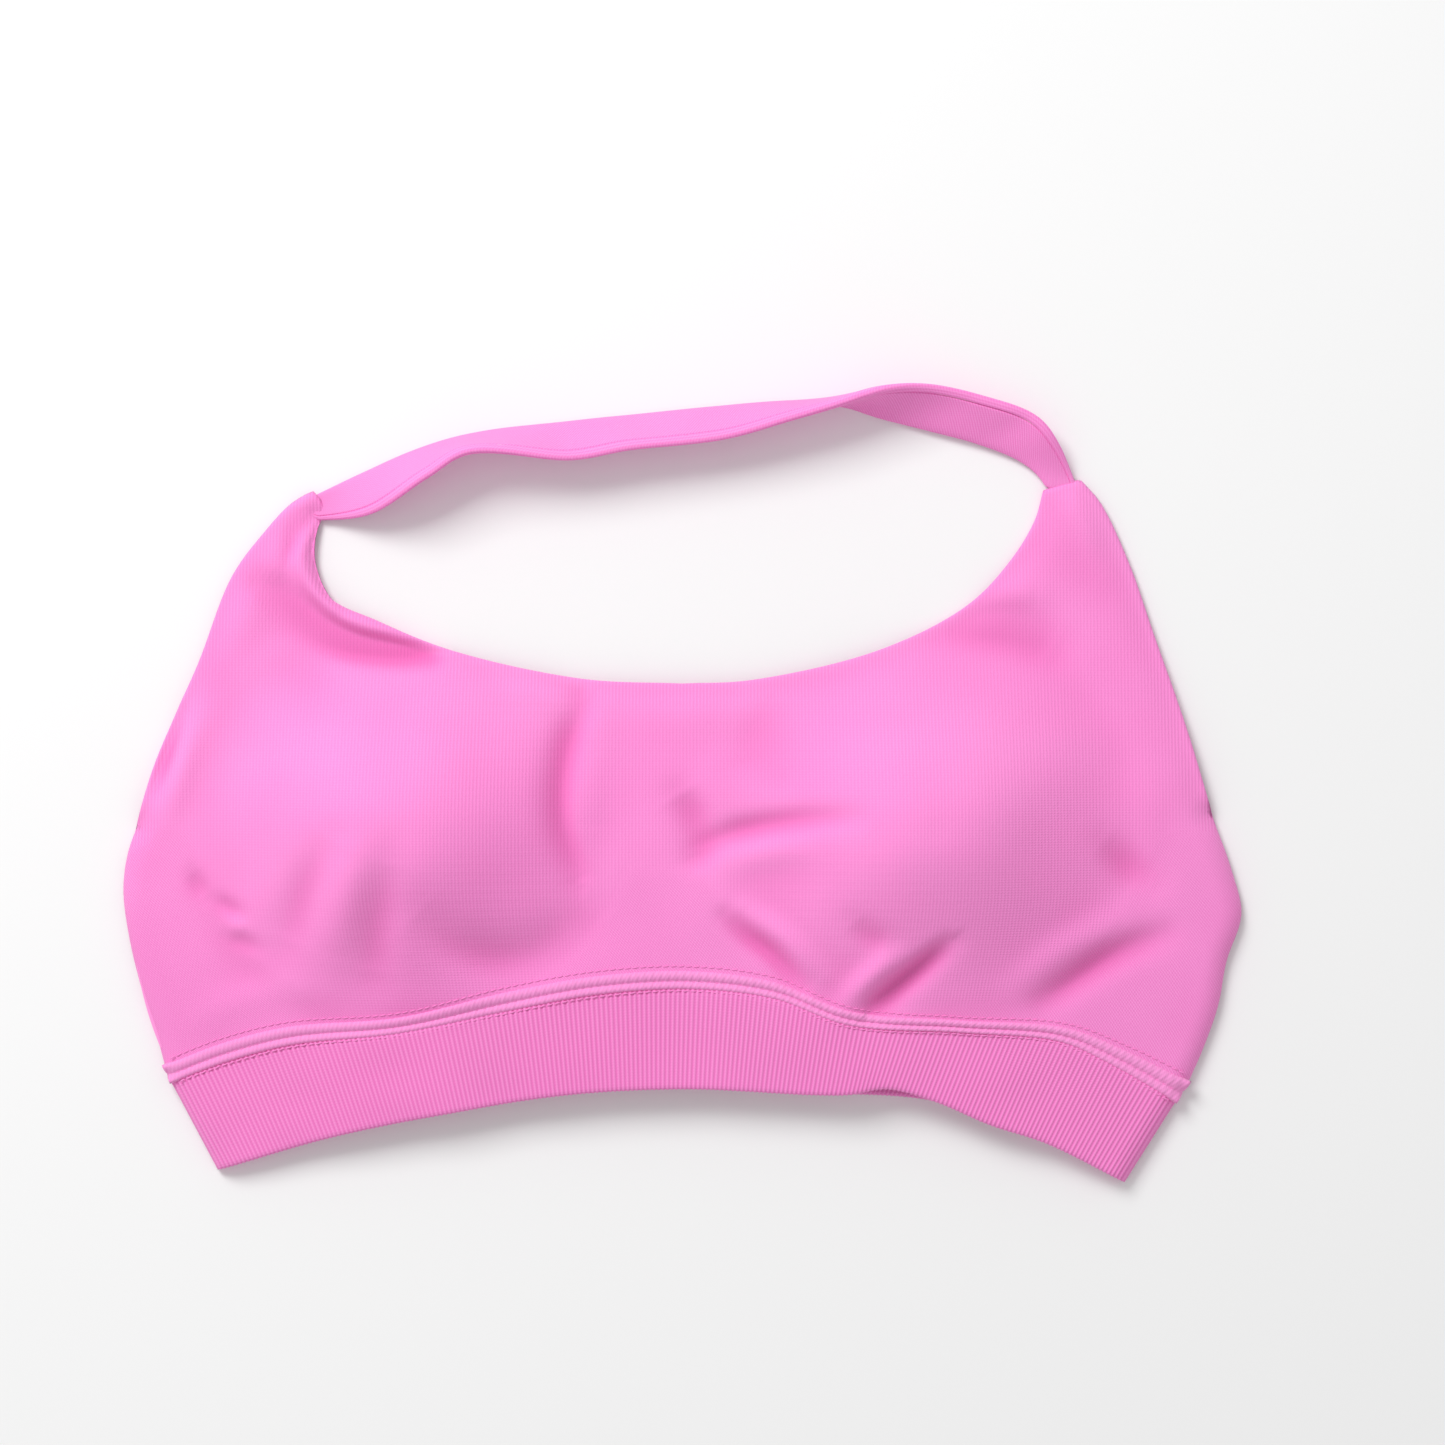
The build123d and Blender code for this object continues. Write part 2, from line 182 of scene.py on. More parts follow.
# ------------------------------------------------------------------ heights taken from the frame
class HeightField:
    """Upper height of some CAD nodes over the table, smoothed and read at any point."""

    STEP = 3.0 * MM

    def __init__(self, nodes, spread):
        trees = []
        for name in nodes:
            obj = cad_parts[name]
            verts = [v.co for v in obj.data.vertices]
            faces = [tuple(p.vertices) for p in obj.data.polygons]
            trees.append(BVHTree.FromPolygons(verts, faces))
        low, high = Vector(CAD_BOX[0]), Vector(CAD_BOX[1])
        self.x = np.arange(low.x - 12 * MM, high.x + 12 * MM, self.STEP)
        self.y = np.arange(low.y - 12 * MM, high.y + 12 * MM, self.STEP)
        grid = np.full((len(self.y), len(self.x)), np.nan)
        for j, y in enumerate(self.y):
            for i, x in enumerate(self.x):
                for tree in trees:
                    hit = tree.ray_cast(Vector((x, y, 0.2)), Vector((0, 0, -1)))[0]
                    if hit is not None:
                        grid[j, i] = hit.z if np.isnan(grid[j, i]) else max(grid[j, i], hit.z)
        self.z = self.blur(self.fill(grid), spread)

    @staticmethod
    def fill(grid):
        """Carries the known heights outwards until the whole grid has one."""
        grid = grid.copy()
        while np.isnan(grid).any():
            wide = np.pad(grid, 1, mode="edge")
            near = np.stack([wide[1 + dy:wide.shape[0] - 1 + dy, 1 + dx:wide.shape[1] - 1 + dx]
                             for dy in (-1, 0, 1) for dx in (-1, 0, 1)])
            known = ~np.isnan(near)
            total = np.where(known, near, 0).sum(0)
            count = known.sum(0)
            fresh = np.isnan(grid) & (count > 0)
            grid[fresh] = total[fresh] / count[fresh]
        return grid

    @staticmethod
    def blur(grid, rounds):
        for _ in range(rounds):
            wide = np.pad(grid, 1, mode="edge")
            rows = (wide[:-2] + 2 * wide[1:-1] + wide[2:]) / 4
            grid = (rows[:, :-2] + 2 * rows[:, 1:-1] + rows[:, 2:]) / 4
        return grid

    def at(self, x, y):
        fx = np.clip((x - self.x[0]) / self.STEP, 0, len(self.x) - 1.001)
        fy = np.clip((y - self.y[0]) / self.STEP, 0, len(self.y) - 1.001)
        i, j = fx.astype(int), fy.astype(int)
        u, v = fx - i, fy - j
        u, v = u * u * (3 - 2 * u) * 0.35 + u * 0.65, v * v * (3 - 2 * v) * 0.35 + v * 0.65
        z = self.z
        return ((1 - u) * (1 - v) * z[j, i] + u * (1 - v) * z[j, i + 1]
                + (1 - u) * v * z[j + 1, i] + u * v * z[j + 1, i + 1])


FRONT_NODES = ("front_outer_panel", "front_band_rib")
top_field = HeightField(FRONT_NODES, 3)
lining_field = HeightField(("front_lining_panel",), 3)


# ------------------------------------------------------------------ folds sculpted into the front
class Fold:
    """A soft valley or ridge along a line: height above zero is a ridge, below zero a valley."""

    def __init__(self, points, width, height, sharp_side=0.0):
        self.line = smooth_line(points, 24)
        self.width = width * MM
        self.height = height * MM
        self.sharp_side = sharp_side

    def lift(self, points):
        d, share = distance_to(points, self.line)
        index = np.clip((share * (len(self.line) - 1)).astype(int), 0, len(self.line) - 2)
        along = self.line[index + 1] - self.line[index]
        away = points[:, :2] - self.line[index]
        side = np.sign(along[:, 0] * away[:, 1] - along[:, 1] * away[:, 0])
        width = self.width * (1 - self.sharp_side * side * 0.5)
        fade = np.sin(np.pi * np.clip(0.08 + 0.84 * share, 0, 1)) ** 0.7
        return self.height * fade * np.exp(-(d / width) ** 2)


FRONT_FOLDS = [
    Fold([(-141.0, 66.0), (-131.0, 59.5), (-121.0, 51.0), (-110.0, 46.0), (-97.0, 43.6),
          (-84.0, 42.5)], 4.4, -7.0),
    Fold([(-127.5, 76.0), (-125.5, 68.0), (-119.0, 59.5), (-108.0, 53.5), (-95.0, 49.5),
          (-82.0, 46.0)], 3.4, 3.4),
    Fold([(-120.6, 88.6), (-125.0, 88.4), (-129.6, 84.0), (-130.4, 76.0)], 1.9, -3.4),
    Fold([(-124.8, 84.0), (-126.4, 75.0), (-122.4, 65.0), (-116.0, 58.5)], 2.4, 2.4),
    Fold([(-127.0, 96.0), (-122.0, 92.0)], 4.0, 1.2),
    Fold([(-136.0, 76.0), (-142.0, 62.0), (-150.0, 44.0)], 8.0, 1.4),
    Fold([(-168.0, 22.0), (-171.5, 9.0), (-175.6, -3.0)], 3.4, -3.0),
    Fold([(-161.0, 22.0), (-166.0, 4.0), (-171.0, -12.0)], 5.0, 1.8),
    Fold([(-163.0, -30.0), (-158.5, -38.0)], 2.6, -1.5),
    Fold([(-155.0, -38.5), (-146.0, -43.5)], 2.4, -1.4),
    Fold([(-150.0, -51.0), (-140.0, -55.0)], 2.8, -1.2),
    Fold([(-150.0, -46.5), (-144.0, -49.0)], 2.6, 0.9),
    Fold([(-114.0, -18.0), (-123.0, -34.0), (-130.0, -52.0)], 7.0, -2.8),
    Fold([(-95.0, -26.0), (-99.0, -44.0), (-101.0, -62.0)], 7.0, -2.8),
    Fold([(-106.0, -24.0), (-111.0, -42.0), (-115.0, -56.0)], 7.0, 1.6),
    Fold([(-86.0, -42.0), (-72.0, -54.0), (-52.0, -57.0), (-36.0, -48.0)], 9.0, -3.4),
    Fold([(-33.0, 26.0), (-38.6, 8.0), (-39.6, -12.0), (-34.0, -30.0)], 5.0, -3.2, 0.6),
    Fold([(-26.0, 24.0), (-29.0, 6.0), (-30.0, -14.0)], 6.0, 1.3),
    Fold([(-1.0, -4.0), (4.0, -12.0), (7.0, -22.0)], 6.5, -3.2),
    Fold([(4.0, -24.0), (13.0, -18.0), (24.0, -14.5), (40.0, -12.0), (56.0, -11.0)], 4.4, -3.0),
    Fold([(16.0, -26.0), (28.0, -23.0), (42.0, -22.0)], 5.5, 1.6),
    Fold([(15.0, -44.0), (22.0, -50.5), (30.0, -56.5), (39.0, -67.0)], 3.6, -2.8),
    Fold([(21.0, -42.0), (33.0, -51.0), (45.0, -64.0)], 4.2, 1.9),
    Fold([(63.0, -74.0), (70.0, -67.0), (77.0, -61.0), (87.0, -52.0)], 3.8, -4.6, 0.5),
    Fold([(54.0, -73.0), (61.0, -65.0), (70.0, -57.0)], 4.2, 3.0),
    Fold([(120.0, -72.0), (133.0, -63.0), (145.0, -56.0), (160.0, -50.0)], 5.0, -3.0),
    Fold([(110.0, -68.0), (127.0, -55.0), (146.0, -46.0)], 6.0, 1.7),
    Fold([(88.0, 51.0), (100.0, 51.5), (112.0, 50.0), (123.0, 44.0)], 7.0, -3.2),
    Fold([(96.0, 59.0), (107.0, 63.0), (118.0, 62.0)], 5.0, 1.4),
    Fold([(114.0, 92.0), (127.0, 78.0), (140.0, 66.0)], 9.0, -2.2),
    Fold([(57.0, -45.0), (62.0, -50.0), (68.0, -52.0)], 4.6, -1.7),
    Fold([(139.0, -20.0), (147.0, -27.0), (156.0, -33.0)], 6.0, -1.8),
    Fold([(130.0, 98.0), (134.0, 86.0), (138.0, 72.0)], 5.0, 1.0),
    Fold([(-20.0, 27.0), (6.0, 23.0), (30.0, 27.0)], 8.0, 1.0),
    Fold([(-58.0, 34.0), (-42.0, 27.0), (-33.0, 18.0)], 5.0, 1.3),
    Fold([(-160.0, -78.0), (-140.0, -70.0), (-120.0, -68.0)], 6.0, 0.9),
    Fold([(20.0, 6.0), (24.0, -6.0), (30.0, -16.0)], 8.0, 1.1),
]

rng = np.random.default_rng(7)
WAVE_COUNT = 26
WAVES = [(rng.uniform(0, math.tau), rng.uniform(60, 240), rng.uniform(0, math.tau))
         for _ in range(WAVE_COUNT)]  # direction, turns a metre and phase


def soft_noise(points, size=1.0):
    """Slow unevenness of handled cloth, about -1 to 1."""
    total = np.zeros(len(points))
    for angle, pitch, phase in WAVES:
        run = points[:, 0] * math.cos(angle) + points[:, 1] * math.sin(angle)
        total += np.sin(run * pitch / size + phase)
    return total / WAVE_COUNT ** 0.5


LOWEST_FRONT = 3.6 * MM  # no fold sinks below this, where the lining lies
PAD_CENTRES = {side: (np.array(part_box(f"{side}_pad")[0]) + np.array(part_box(f"{side}_pad")[1]))[:2] / 2
               for side in ("left", "right")}
FRAME_DOME = (23.0 * MM, 76.0 * MM, 66.0 * MM)  # the frame's own smooth bump: rise and reach
CUP_SAG = 8.0 * MM  # the cups have slid this far towards the band
CLOTH_DOME = {"left": (23.0 * MM, 68.0 * MM, 65.0 * MM), "right": (23.0 * MM, 66.0 * MM, 64.0 * MM)}


def fuller_dome(points):
    """Change from the frame's smooth bumps to firmer pads with a rounder top and a steeper foot."""
    change = np.zeros(len(points))
    rise, reach_x, reach_y = FRAME_DOME
    for side, centre in PAD_CENTRES.items():
        dx, dy = points[:, 0] - centre[0], points[:, 1] - centre[1]
        change -= rise * np.clip(1 - (dx / reach_x) ** 2 - (dy / reach_y) ** 2, 0, 1) ** 2
        full, wide, tall = CLOTH_DOME[side]
        dy = dy + CUP_SAG
        r = (np.abs(dx / wide) ** 2.3 + np.abs(dy / tall) ** 2.3) ** (1 / 2.3)
        change += full * (1 - smoothstep(0.05, 1.03, r))
    return change


def front_height(points):
    """Upper height of the front cloth with its folds, for points in plan."""
    z = top_field.at(points[:, 0], points[:, 1]) + fuller_dome(points)
    for fold in FRONT_FOLDS:
        z = z + fold.lift(points)
    z = z + soft_noise(points) * 0.22 * MM
    return LOWEST_FRONT + (z - LOWEST_FRONT + np.hypot(z - LOWEST_FRONT, 0.8 * MM)) / 2


LINING_GAP = 2.4 * MM  # the lining keeps this far below the front cloth and its folds


def lining_height(points):
    """Upper height of the lining, for points in plan."""
    return np.minimum(lining_field.at(points[:, 0], points[:, 1]), front_height(points) - LINING_GAP)


# ------------------------------------------------------------------ meshes
def make_object(name, verts, faces, material=None, smooth=True):
    mesh = bpy.data.meshes.new(name)
    mesh.from_pydata([tuple(v) for v in verts], [], [tuple(int(i) for i in f) for f in faces])
    mesh.validate()
    mesh.update()
    obj = bpy.data.objects.new(name, mesh)
    bpy.context.scene.collection.objects.link(obj)
    if smooth:
        mesh.polygons.foreach_set("use_smooth", [True] * len(mesh.polygons))
    if material is not None:
        mesh.materials.append(material)
    return obj


def set_uv(obj, uv, name="Knit"):
    """One texture coordinate for each vertex, in metres along and across the knit."""
    layer = obj.data.uv_layers.new(name=name)
    index = np.empty(len(obj.data.loops), int)
    obj.data.loops.foreach_get("vertex_index", index)
    layer.data.foreach_set("uv", np.asarray(uv)[index].ravel())


def set_value(obj, name, values):
    layer = obj.data.attributes.new(name, "FLOAT", "POINT")
    layer.data.foreach_set("value", np.asarray(values, float))


def grid_faces(rows, columns, start=0, flip=False, wrap=False):
    """Quads of a grid stored row by row; wrap joins the last column to the first."""
    i = np.arange(columns if wrap else columns - 1)
    j = np.arange(rows - 1)
    jj, ii = np.meshgrid(j, i, indexing="ij")
    a = jj * columns + ii
    b = jj * columns + (ii + 1) % columns
    quads = np.stack([a, b, b + columns, a + columns], -1).reshape(-1, 4) + start
    return quads[:, ::-1] if flip else quads


def shell(upper, lower, rows, columns):
    """Closed skin of a sheet from its upper and lower grids, which share their rim."""
    count = rows * columns
    rim = np.zeros((rows, columns), bool)
    rim[0] = rim[-1] = True
    rim[:, 0] = rim[:, -1] = True
    rim = rim.ravel()
    number = np.full(count, -1)
    number[rim] = np.nonzero(rim)[0]
    inner = ~rim
    number[inner] = count + np.arange(inner.sum())
    faces_up = grid_faces(rows, columns)
    faces_down = number[grid_faces(rows, columns)][:, ::-1]
    verts = np.vstack([upper, lower[inner]])
    keep = np.concatenate([np.arange(count), np.nonzero(inner)[0]])
    return verts, np.vstack([faces_up, faces_down]), keep


def coons(bottom, top, left, right, u, v):
    """Plan grid between four border curves, rows along v and columns along u."""
    b, t = at_share(bottom, u), at_share(top, u)
    le, ri = at_share(left, v), at_share(right, v)
    uu, vv = u[None, :, None], v[:, None, None]
    corners = ((1 - uu) * (1 - vv) * b[0] + uu * (1 - vv) * b[-1]
               + (1 - uu) * vv * t[0] + uu * vv * t[-1])
    grid = ((1 - vv) * b[None] + vv * t[None] + (1 - uu) * le[:, None] + uu * ri[:, None] - corners)
    return grid.reshape(-1, 2)


def relaxed_plan(borders, u, v, rounds=500):
    """Plan grid whose inner points are evened out, so that its columns never cross."""
    even_u, even_v = np.linspace(0, 1, 181), np.linspace(0, 1, 71)
    grid = coons(*borders, even_u, even_v).reshape(71, 181, 2)
    for _ in range(rounds):
        grid[1:-1, 1:-1] = (grid[:-2, 1:-1] + grid[2:, 1:-1] + grid[1:-1, :-2] + grid[1:-1, 2:]) / 4
    fu, fv = u * 180, v * 70
    i, j = np.clip(fu.astype(int), 0, 179), np.clip(fv.astype(int), 0, 69)
    a, b = (fu - i)[None, :, None], (fv - j)[:, None, None]
    ii, jj = i[None, :], j[:, None]
    out = ((1 - a) * (1 - b) * grid[jj, ii] + a * (1 - b) * grid[jj, ii + 1]
           + (1 - a) * b * grid[jj + 1, ii] + a * b * grid[jj + 1, ii + 1])
    if v[-1] == 1:
        out[0], out[-1] = at_share(borders[0], u), at_share(borders[1], u)
        out[:, 0], out[:, -1] = at_share(borders[2], v), at_share(borders[3], v)
    return out.reshape(-1, 2)


def wale_lines(points):
    """Sideways knit coordinate: the wales lean outwards beside the seam and run straight above."""
    x, y = points[:, 0], points[:, 1]
    reach = 187 * MM - 17 * MM * np.clip((-36 * MM - y) / (62 * MM), 0, 1.6) ** 1.4
    return x * 187 * MM / reach


def joined_top(runs, shares, count=900):
    """One border made of several runs, each given its own share of the columns."""
    out = []
    for (start, end), run in zip(shares, runs):
        n = max(3, int(round((end - start) * count)))
        out.append(smooth_line(run, n + 1)[:-1])
    out.append(smooth_line(runs[-1], 3)[-1:])
    return np.vstack(out)


def eased(count, ends, start_fine=True, end_fine=True):
    """Evenly spaced shares with a few close ones at either end for a rounded border."""
    middle = np.linspace(0, 1, count)
    fine = np.array(ends)
    first = fine if start_fine else np.array([0.0])
    last = 1 - fine[::-1] if end_fine else np.array([1.0])
    after, before = [(fine[-1] if on else 0) * 1.2 for on in (start_fine, end_fine)]
    return np.concatenate([first, middle[(middle > after) & (middle < 1 - before)], last])


# Share of the columns that each run of the front's upper border takes.
TOP_SHARES = [(0.0, 0.150), (0.150, 0.172), (0.172, 0.505), (0.505, 0.850), (0.850, 0.886), (0.886, 1.0)]
SEAM_TUCK = 2.6 * MM  # the body cloth runs this far under the seam


def front_borders():
    tip_left = [ARM_LEFT[-1], (-119.9, 93.5), (-119.8, 89.3), NECK_LEFT[0]]
    tip_right = [NECK_RIGHT[-1], ARM_RIGHT[0]]
    runs = [ARM_LEFT, tip_left, NECK_LEFT, NECK_RIGHT, tip_right, ARM_RIGHT]
    top = joined_top(runs, TOP_SHARES)
    bottom = tucked_seam(700)
    left = smooth_line([bottom[0] / MM] + SIDE_LEFT[1:], 300)
    right = smooth_line([bottom[-1] / MM] + SIDE_RIGHT[1:], 300)
    return bottom, top, left, right


def tucked_seam(count):
    """The body's lower border, a little below the seam's upper edge."""
    return shifted(smooth_line(SEAM_TOP, count), -SEAM_TUCK)


CUP_ROUNDS = [((-88.0, -2.0), 76.0), ((80.0, 5.0), 80.0)]  # centre and radius of each jersey cup


def twill_mask(points):
    """1 where the cloth is the diagonal twill knit, 0 on the plain jersey cups and shoulders."""
    x, y = points[:, 0] / MM, points[:, 1] / MM
    inside = np.zeros(len(points))
    for (cx, cy), r in CUP_ROUNDS:
        inside = np.maximum(inside, smoothstep(3.0, -3.0, np.hypot(x - cx, y - cy) - r))
    above = smoothstep(-34.0, -24.0, y - 16.0 * np.abs(x / 180.0) ** 2)
    return 1 - np.maximum(inside, above)


def evened(grid, rounds):
    """The grid with each point drawn towards its neighbours a number of times."""
    for _ in range(rounds):
        wide = np.pad(grid, 1, mode="edge")
        grid = (wide[:-2, 1:-1] + wide[2:, 1:-1] + wide[1:-1, :-2] + wide[1:-1, 2:]) / 4
    return grid


def crease_shade_amount(z, rows, columns, depth=2.0 * MM):
    """Amount of painted crease shade for the knit's colour: up to 1 where the cloth lies in a crease or at
    the foot of a slope, 0 where it is flat or proud.
    """
    grid = z.reshape(rows, columns)
    below = np.clip((evened(grid, 46) - grid) / depth, 0, 1)
    return evened(below, 5).ravel()


FRONT_CLOTH = 1.1 * MM
HEM_CLOTH = 1.9 * MM
SIDE_FOLD = 8.0 * MM
SIDE_BOTTOM = 0.9 * MM


def front_sheet(field_height, u, v):
    """Plan and height of the front cloth, and each point's distance from its sides and upper border."""
    bottom, top, left, right = front_borders()
    plan = relaxed_plan((bottom, top, left, right), u, v)
    z = field_height(plan)
    d_left, _ = distance_to(plan, left[::4])
    d_right, _ = distance_to(plan, right[::4])
    d_side = np.minimum(d_left, d_right)
    d_top, _ = distance_to(plan, top[::3])
    return plan, z, d_side, d_top


def build_front_cloth(material):
    u = eased(300, (0.0, 0.0008, 0.002, 0.004))
    v = eased(118, (0.0, 0.002, 0.005, 0.009), start_fine=False)
    plan, z, d_side, d_top = front_sheet(front_height, u, v)
    rows, columns = len(v), len(u)
    z = z - 1.8 * MM * np.exp(-(d_top / (7 * MM)) ** 2)
    low = SIDE_BOTTOM
    round_side = rounded(np.clip(d_side / SIDE_FOLD, 0, 1))
    z = low + (z - low) * round_side
    edge = rounded(np.clip(d_top / (1.3 * MM), 0, 1))
    thick = FRONT_CLOTH + (HEM_CLOTH - FRONT_CLOTH) * smoothstep(7.5 * MM, 5.5 * MM, d_top)
    thick = thick * np.minimum(1.0, 0.25 + 0.75 * round_side)
    middle = z - thick / 2
    shut = np.minimum(edge, np.where(d_side < 1e-7, 0.0, 1.0))
    upper = np.column_stack([plan, middle + thick / 2 * shut])
    lower = np.column_stack([plan, middle - thick / 2 * shut])
    verts, faces, keep = shell(upper, lower, rows, columns)
    obj = make_object("front_cloth", verts, faces, material)
    set_uv(obj, np.column_stack([wale_lines(plan), plan[:, 1]])[keep])
    set_value(obj, "twill", twill_mask(plan)[keep])
    set_value(obj, "hem", smoothstep(8.0 * MM, 6.5 * MM, d_top)[keep])
    # Painted shade: the cloth's colour is darkened where it lies in a crease or at the foot of a slope, faded
    # out near the upper border.
    crease_shade = crease_shade_amount(front_height(plan), rows, columns) * smoothstep(1.0 * MM, 4.0 * MM, d_top)
    set_value(obj, "painted_crease_shade", crease_shade[keep])
    return obj


def build_lining(material):
    u = eased(150, (0.0, 0.002, 0.005))
    v = eased(60, (0.0, 0.004, 0.01), start_fine=False)
    bottom, top, left, right = front_borders()
    plan = relaxed_plan((bottom, top, left, right), 0.006 + 0.988 * u, 0.004 + 0.970 * v)
    z = lining_height(plan)
    d_left, _ = distance_to(plan, left[::4])
    d_right, _ = distance_to(plan, right[::4])
    d_side = np.minimum(d_left, d_right)
    d_top, _ = distance_to(plan, top[::3])
    z = z - 1.6 * MM * np.exp(-(d_top / (7 * MM)) ** 2)
    z = np.maximum(z, 1.0 * MM)
    z = 2.2 * MM + (z - 2.2 * MM) * np.clip(d_side / SIDE_FOLD, 0, 1) ** 0.5
    upper = np.column_stack([plan, z])
    lower = np.column_stack([plan, z - 0.7 * MM])
    verts, faces, keep = shell(upper, lower, len(v), len(u))
    obj = make_object("front_lining", verts, faces, material)
    set_uv(obj, np.column_stack([wale_lines(plan), plan[:, 1]])[keep])
    set_value(obj, "twill", np.zeros(len(keep)))
    set_value(obj, "hem", smoothstep(8.0 * MM, 6.5 * MM, d_top)[keep])
    return obj


def build_back_cloth(material):
    bottom = tucked_seam(400)
    top = smooth_line(BACK_TOP, 400)
    left = smooth_line([bottom[0] / MM] + SIDE_LEFT[1:], 200)
    right = smooth_line([bottom[-1] / MM] + SIDE_RIGHT[1:], 200)
    u = eased(220, (0.0, 0.001, 0.003))
    v = eased(60, (0.0, 0.004, 0.01), start_fine=False)
    plan = coons(bottom, top, left, right, u, v)
    d_side = np.minimum(distance_to(plan, left[::4])[0], distance_to(plan, right[::4])[0])
    d_top = distance_to(plan, top[::4])[0]
    hem = smoothstep(8.0 * MM, 6.5 * MM, d_top)
    thick = (1.15 + 0.45 * hem) * MM + 0.12 * MM * soft_noise(plan, 2.0)
    edge = rounded(np.clip(np.minimum(d_top, d_side) / (0.9 * MM), 0, 1))
    low = np.zeros(len(plan)) + 0.05 * MM
    middle = low + thick / 2
    upper = np.column_stack([plan, middle + thick / 2 * edge])
    lower = np.column_stack([plan, middle - thick / 2 * edge])
    verts, faces, keep = shell(upper, lower, len(v), len(u))
    obj = make_object("back_cloth", verts, faces, material)
    set_uv(obj, np.column_stack([wale_lines(plan), plan[:, 1]])[keep])
    set_value(obj, "twill", np.ones(len(keep)))
    set_value(obj, "hem", hem[keep])
    return obj


# ------------------------------------------------------------------ pads
def build_pad(name, node, material):
    low, high = (np.array(c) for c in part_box(node))
    centre, half = (low + high) / 2, (high - low) / 2
    rings, spokes = 26, 96
    share = np.sin(np.linspace(0, np.pi / 2, rings + 1))[1:]
    angle = np.linspace(0, math.tau, spokes, endpoint=False)
    rr, aa = np.meshgrid(share, angle, indexing="ij")
    x = centre[0] + half[0] * rr * np.cos(aa)
    y = centre[1] + half[1] * rr * np.sin(aa)
    plan = np.column_stack([x.ravel(), y.ravel()])
    plan = np.vstack([[centre[:2]], plan])
    reach = np.concatenate([[0.0], rr.ravel()])
    roof = front_height(plan) - FRONT_CLOTH - 0.35 * MM
    floor = lining_height(plan) + 0.3 * MM
    floor = np.minimum(floor, roof - 0.9 * MM)
    shut = np.sqrt(np.clip(1 - reach ** 10, 0, 1))
    middle = (roof + floor) / 2
    upper = np.column_stack([plan, middle + (roof - middle) * shut])
    lower = np.column_stack([plan, middle + (floor - middle) * shut])
    count = 1 + rings * spokes
    rim_start = 1 + (rings - 1) * spokes
    number = np.arange(count) + count
    number[rim_start:] = np.arange(rim_start, count)
    faces = []
    for k in range(spokes):
        after = (k + 1) % spokes
        faces.append((0, 1 + k, 1 + after))
        faces.append((number[0], number[1 + after], number[1 + k]))
        for r in range(rings - 1):
            a, b = 1 + r * spokes + k, 1 + r * spokes + after
            c, d = b + spokes, a + spokes
            faces.append((a, d, c, b))
            faces.append((number[a], number[b], number[c], number[d]))
    verts = np.vstack([upper, lower[:rim_start]])
    return make_object(name, verts, faces, material)


# ------------------------------------------------------------------ underband
BAND_THICK = 2.9 * MM
RIB_PITCH = 1.6 * MM
BAND_FOLD_TOP = 2.4 * MM  # height to which the front band comes down at its side folds
BAND_WAVE = (0.3 * MM, 55.0)  # rise and turns, in radians a metre, of the band's slow wave
SEAM_FOLD_TOP = 2.2 * MM  # the same height for the seam and its stitches
SEAM_FOLD = 7.0 * MM  # length over which the seam comes down to it


def band_roof(points, side):
    """Upper height of the front band, where side is 0 on a side fold and 1 well inside."""
    rise, turns = BAND_WAVE
    top = front_height(points) + rise * np.sin(points[:, 0] * turns)
    return BAND_FOLD_TOP + (top - BAND_FOLD_TOP) * side


def band_grid(seam, hem, tuck):
    """Plan grid of a band: its upper border is tucked under the seam by a small amount."""
    seam_line, hem_line = smooth_line(seam, 900), smooth_line(hem, 900)
    ribs = int(round(line_length(seam_line) / RIB_PITCH))
    columns = ribs * 6 + 1
    u = np.linspace(0, 1, columns)
    v = np.concatenate([np.linspace(0, 0.93, 18), [0.955, 0.972, 0.984, 0.992, 0.997, 1.0]])
    top, low = at_share(seam_line, u), at_share(hem_line, u)
    up = (top - low) / np.linalg.norm(top - low, axis=1)[:, None]
    top = top + up * tuck
    plan = (low[None] * v[:, None, None] + top[None] * (1 - v[:, None, None])).reshape(-1, 2)
    return plan, u, v, ribs, seam_line, hem_line


def build_band(name, hem, front, material, tree):
    plan, u, v, ribs, seam_line, hem_line = band_grid(SEAM_BOTTOM, hem, 2.0 * MM)
    rows, columns = len(v), len(u)
    ends = [np.vstack([seam_line[k], hem_line[k]]) for k in (0, -1)]
    d_side = np.minimum(distance_to(plan, ends[0])[0], distance_to(plan, ends[1])[0])
    d_hem = distance_to(plan, hem_line[::3])[0]
    edge = rounded(np.clip(d_hem / (1.6 * MM), 0, 1))
    side = rounded(np.clip(d_side / SIDE_FOLD, 0, 1))
    if front:
        top = band_roof(plan, side)
        shut = edge * np.minimum(1, 0.3 + 0.7 * side)
    else:
        top = np.full(len(plan), 0.15 * MM + BAND_THICK)
        shut = edge * np.minimum(1, 0.3 + 0.7 * np.clip(d_side / (1.5 * MM), 0, 1))
    shut = np.where(d_side < 1e-7, 0, shut)
    shut[:columns] = 0
    thick = BAND_THICK * np.where(v.repeat(columns) < 1e-9, 0.0, 1.0)
    middle = top - BAND_THICK / 2
    upper = np.column_stack([plan, middle + thick / 2 * shut])
    lower = np.column_stack([plan, middle - thick / 2 * shut])
    verts, faces, keep = shell(upper, lower, rows, columns)
    obj = make_object(name, verts, faces, material)
    flip_check(obj)
    wale = (u * ribs)[None, :].repeat(rows, 0).ravel()
    drop = v[:, None].repeat(columns, 1).ravel() * 33 * MM
    set_uv(obj, np.column_stack([wale * RIB_PITCH, drop])[keep])
    set_value(obj, "rib", wale[keep])
    fade = np.minimum(smoothstep(0, 3 * MM, d_side), smoothstep(-0.001, 1.2 * MM, d_hem) * 0.6 + 0.4)
    set_value(obj, "rib_fade", fade[keep])
    return bake_nodes(obj, tree, {"Depth": 0.34 * MM})


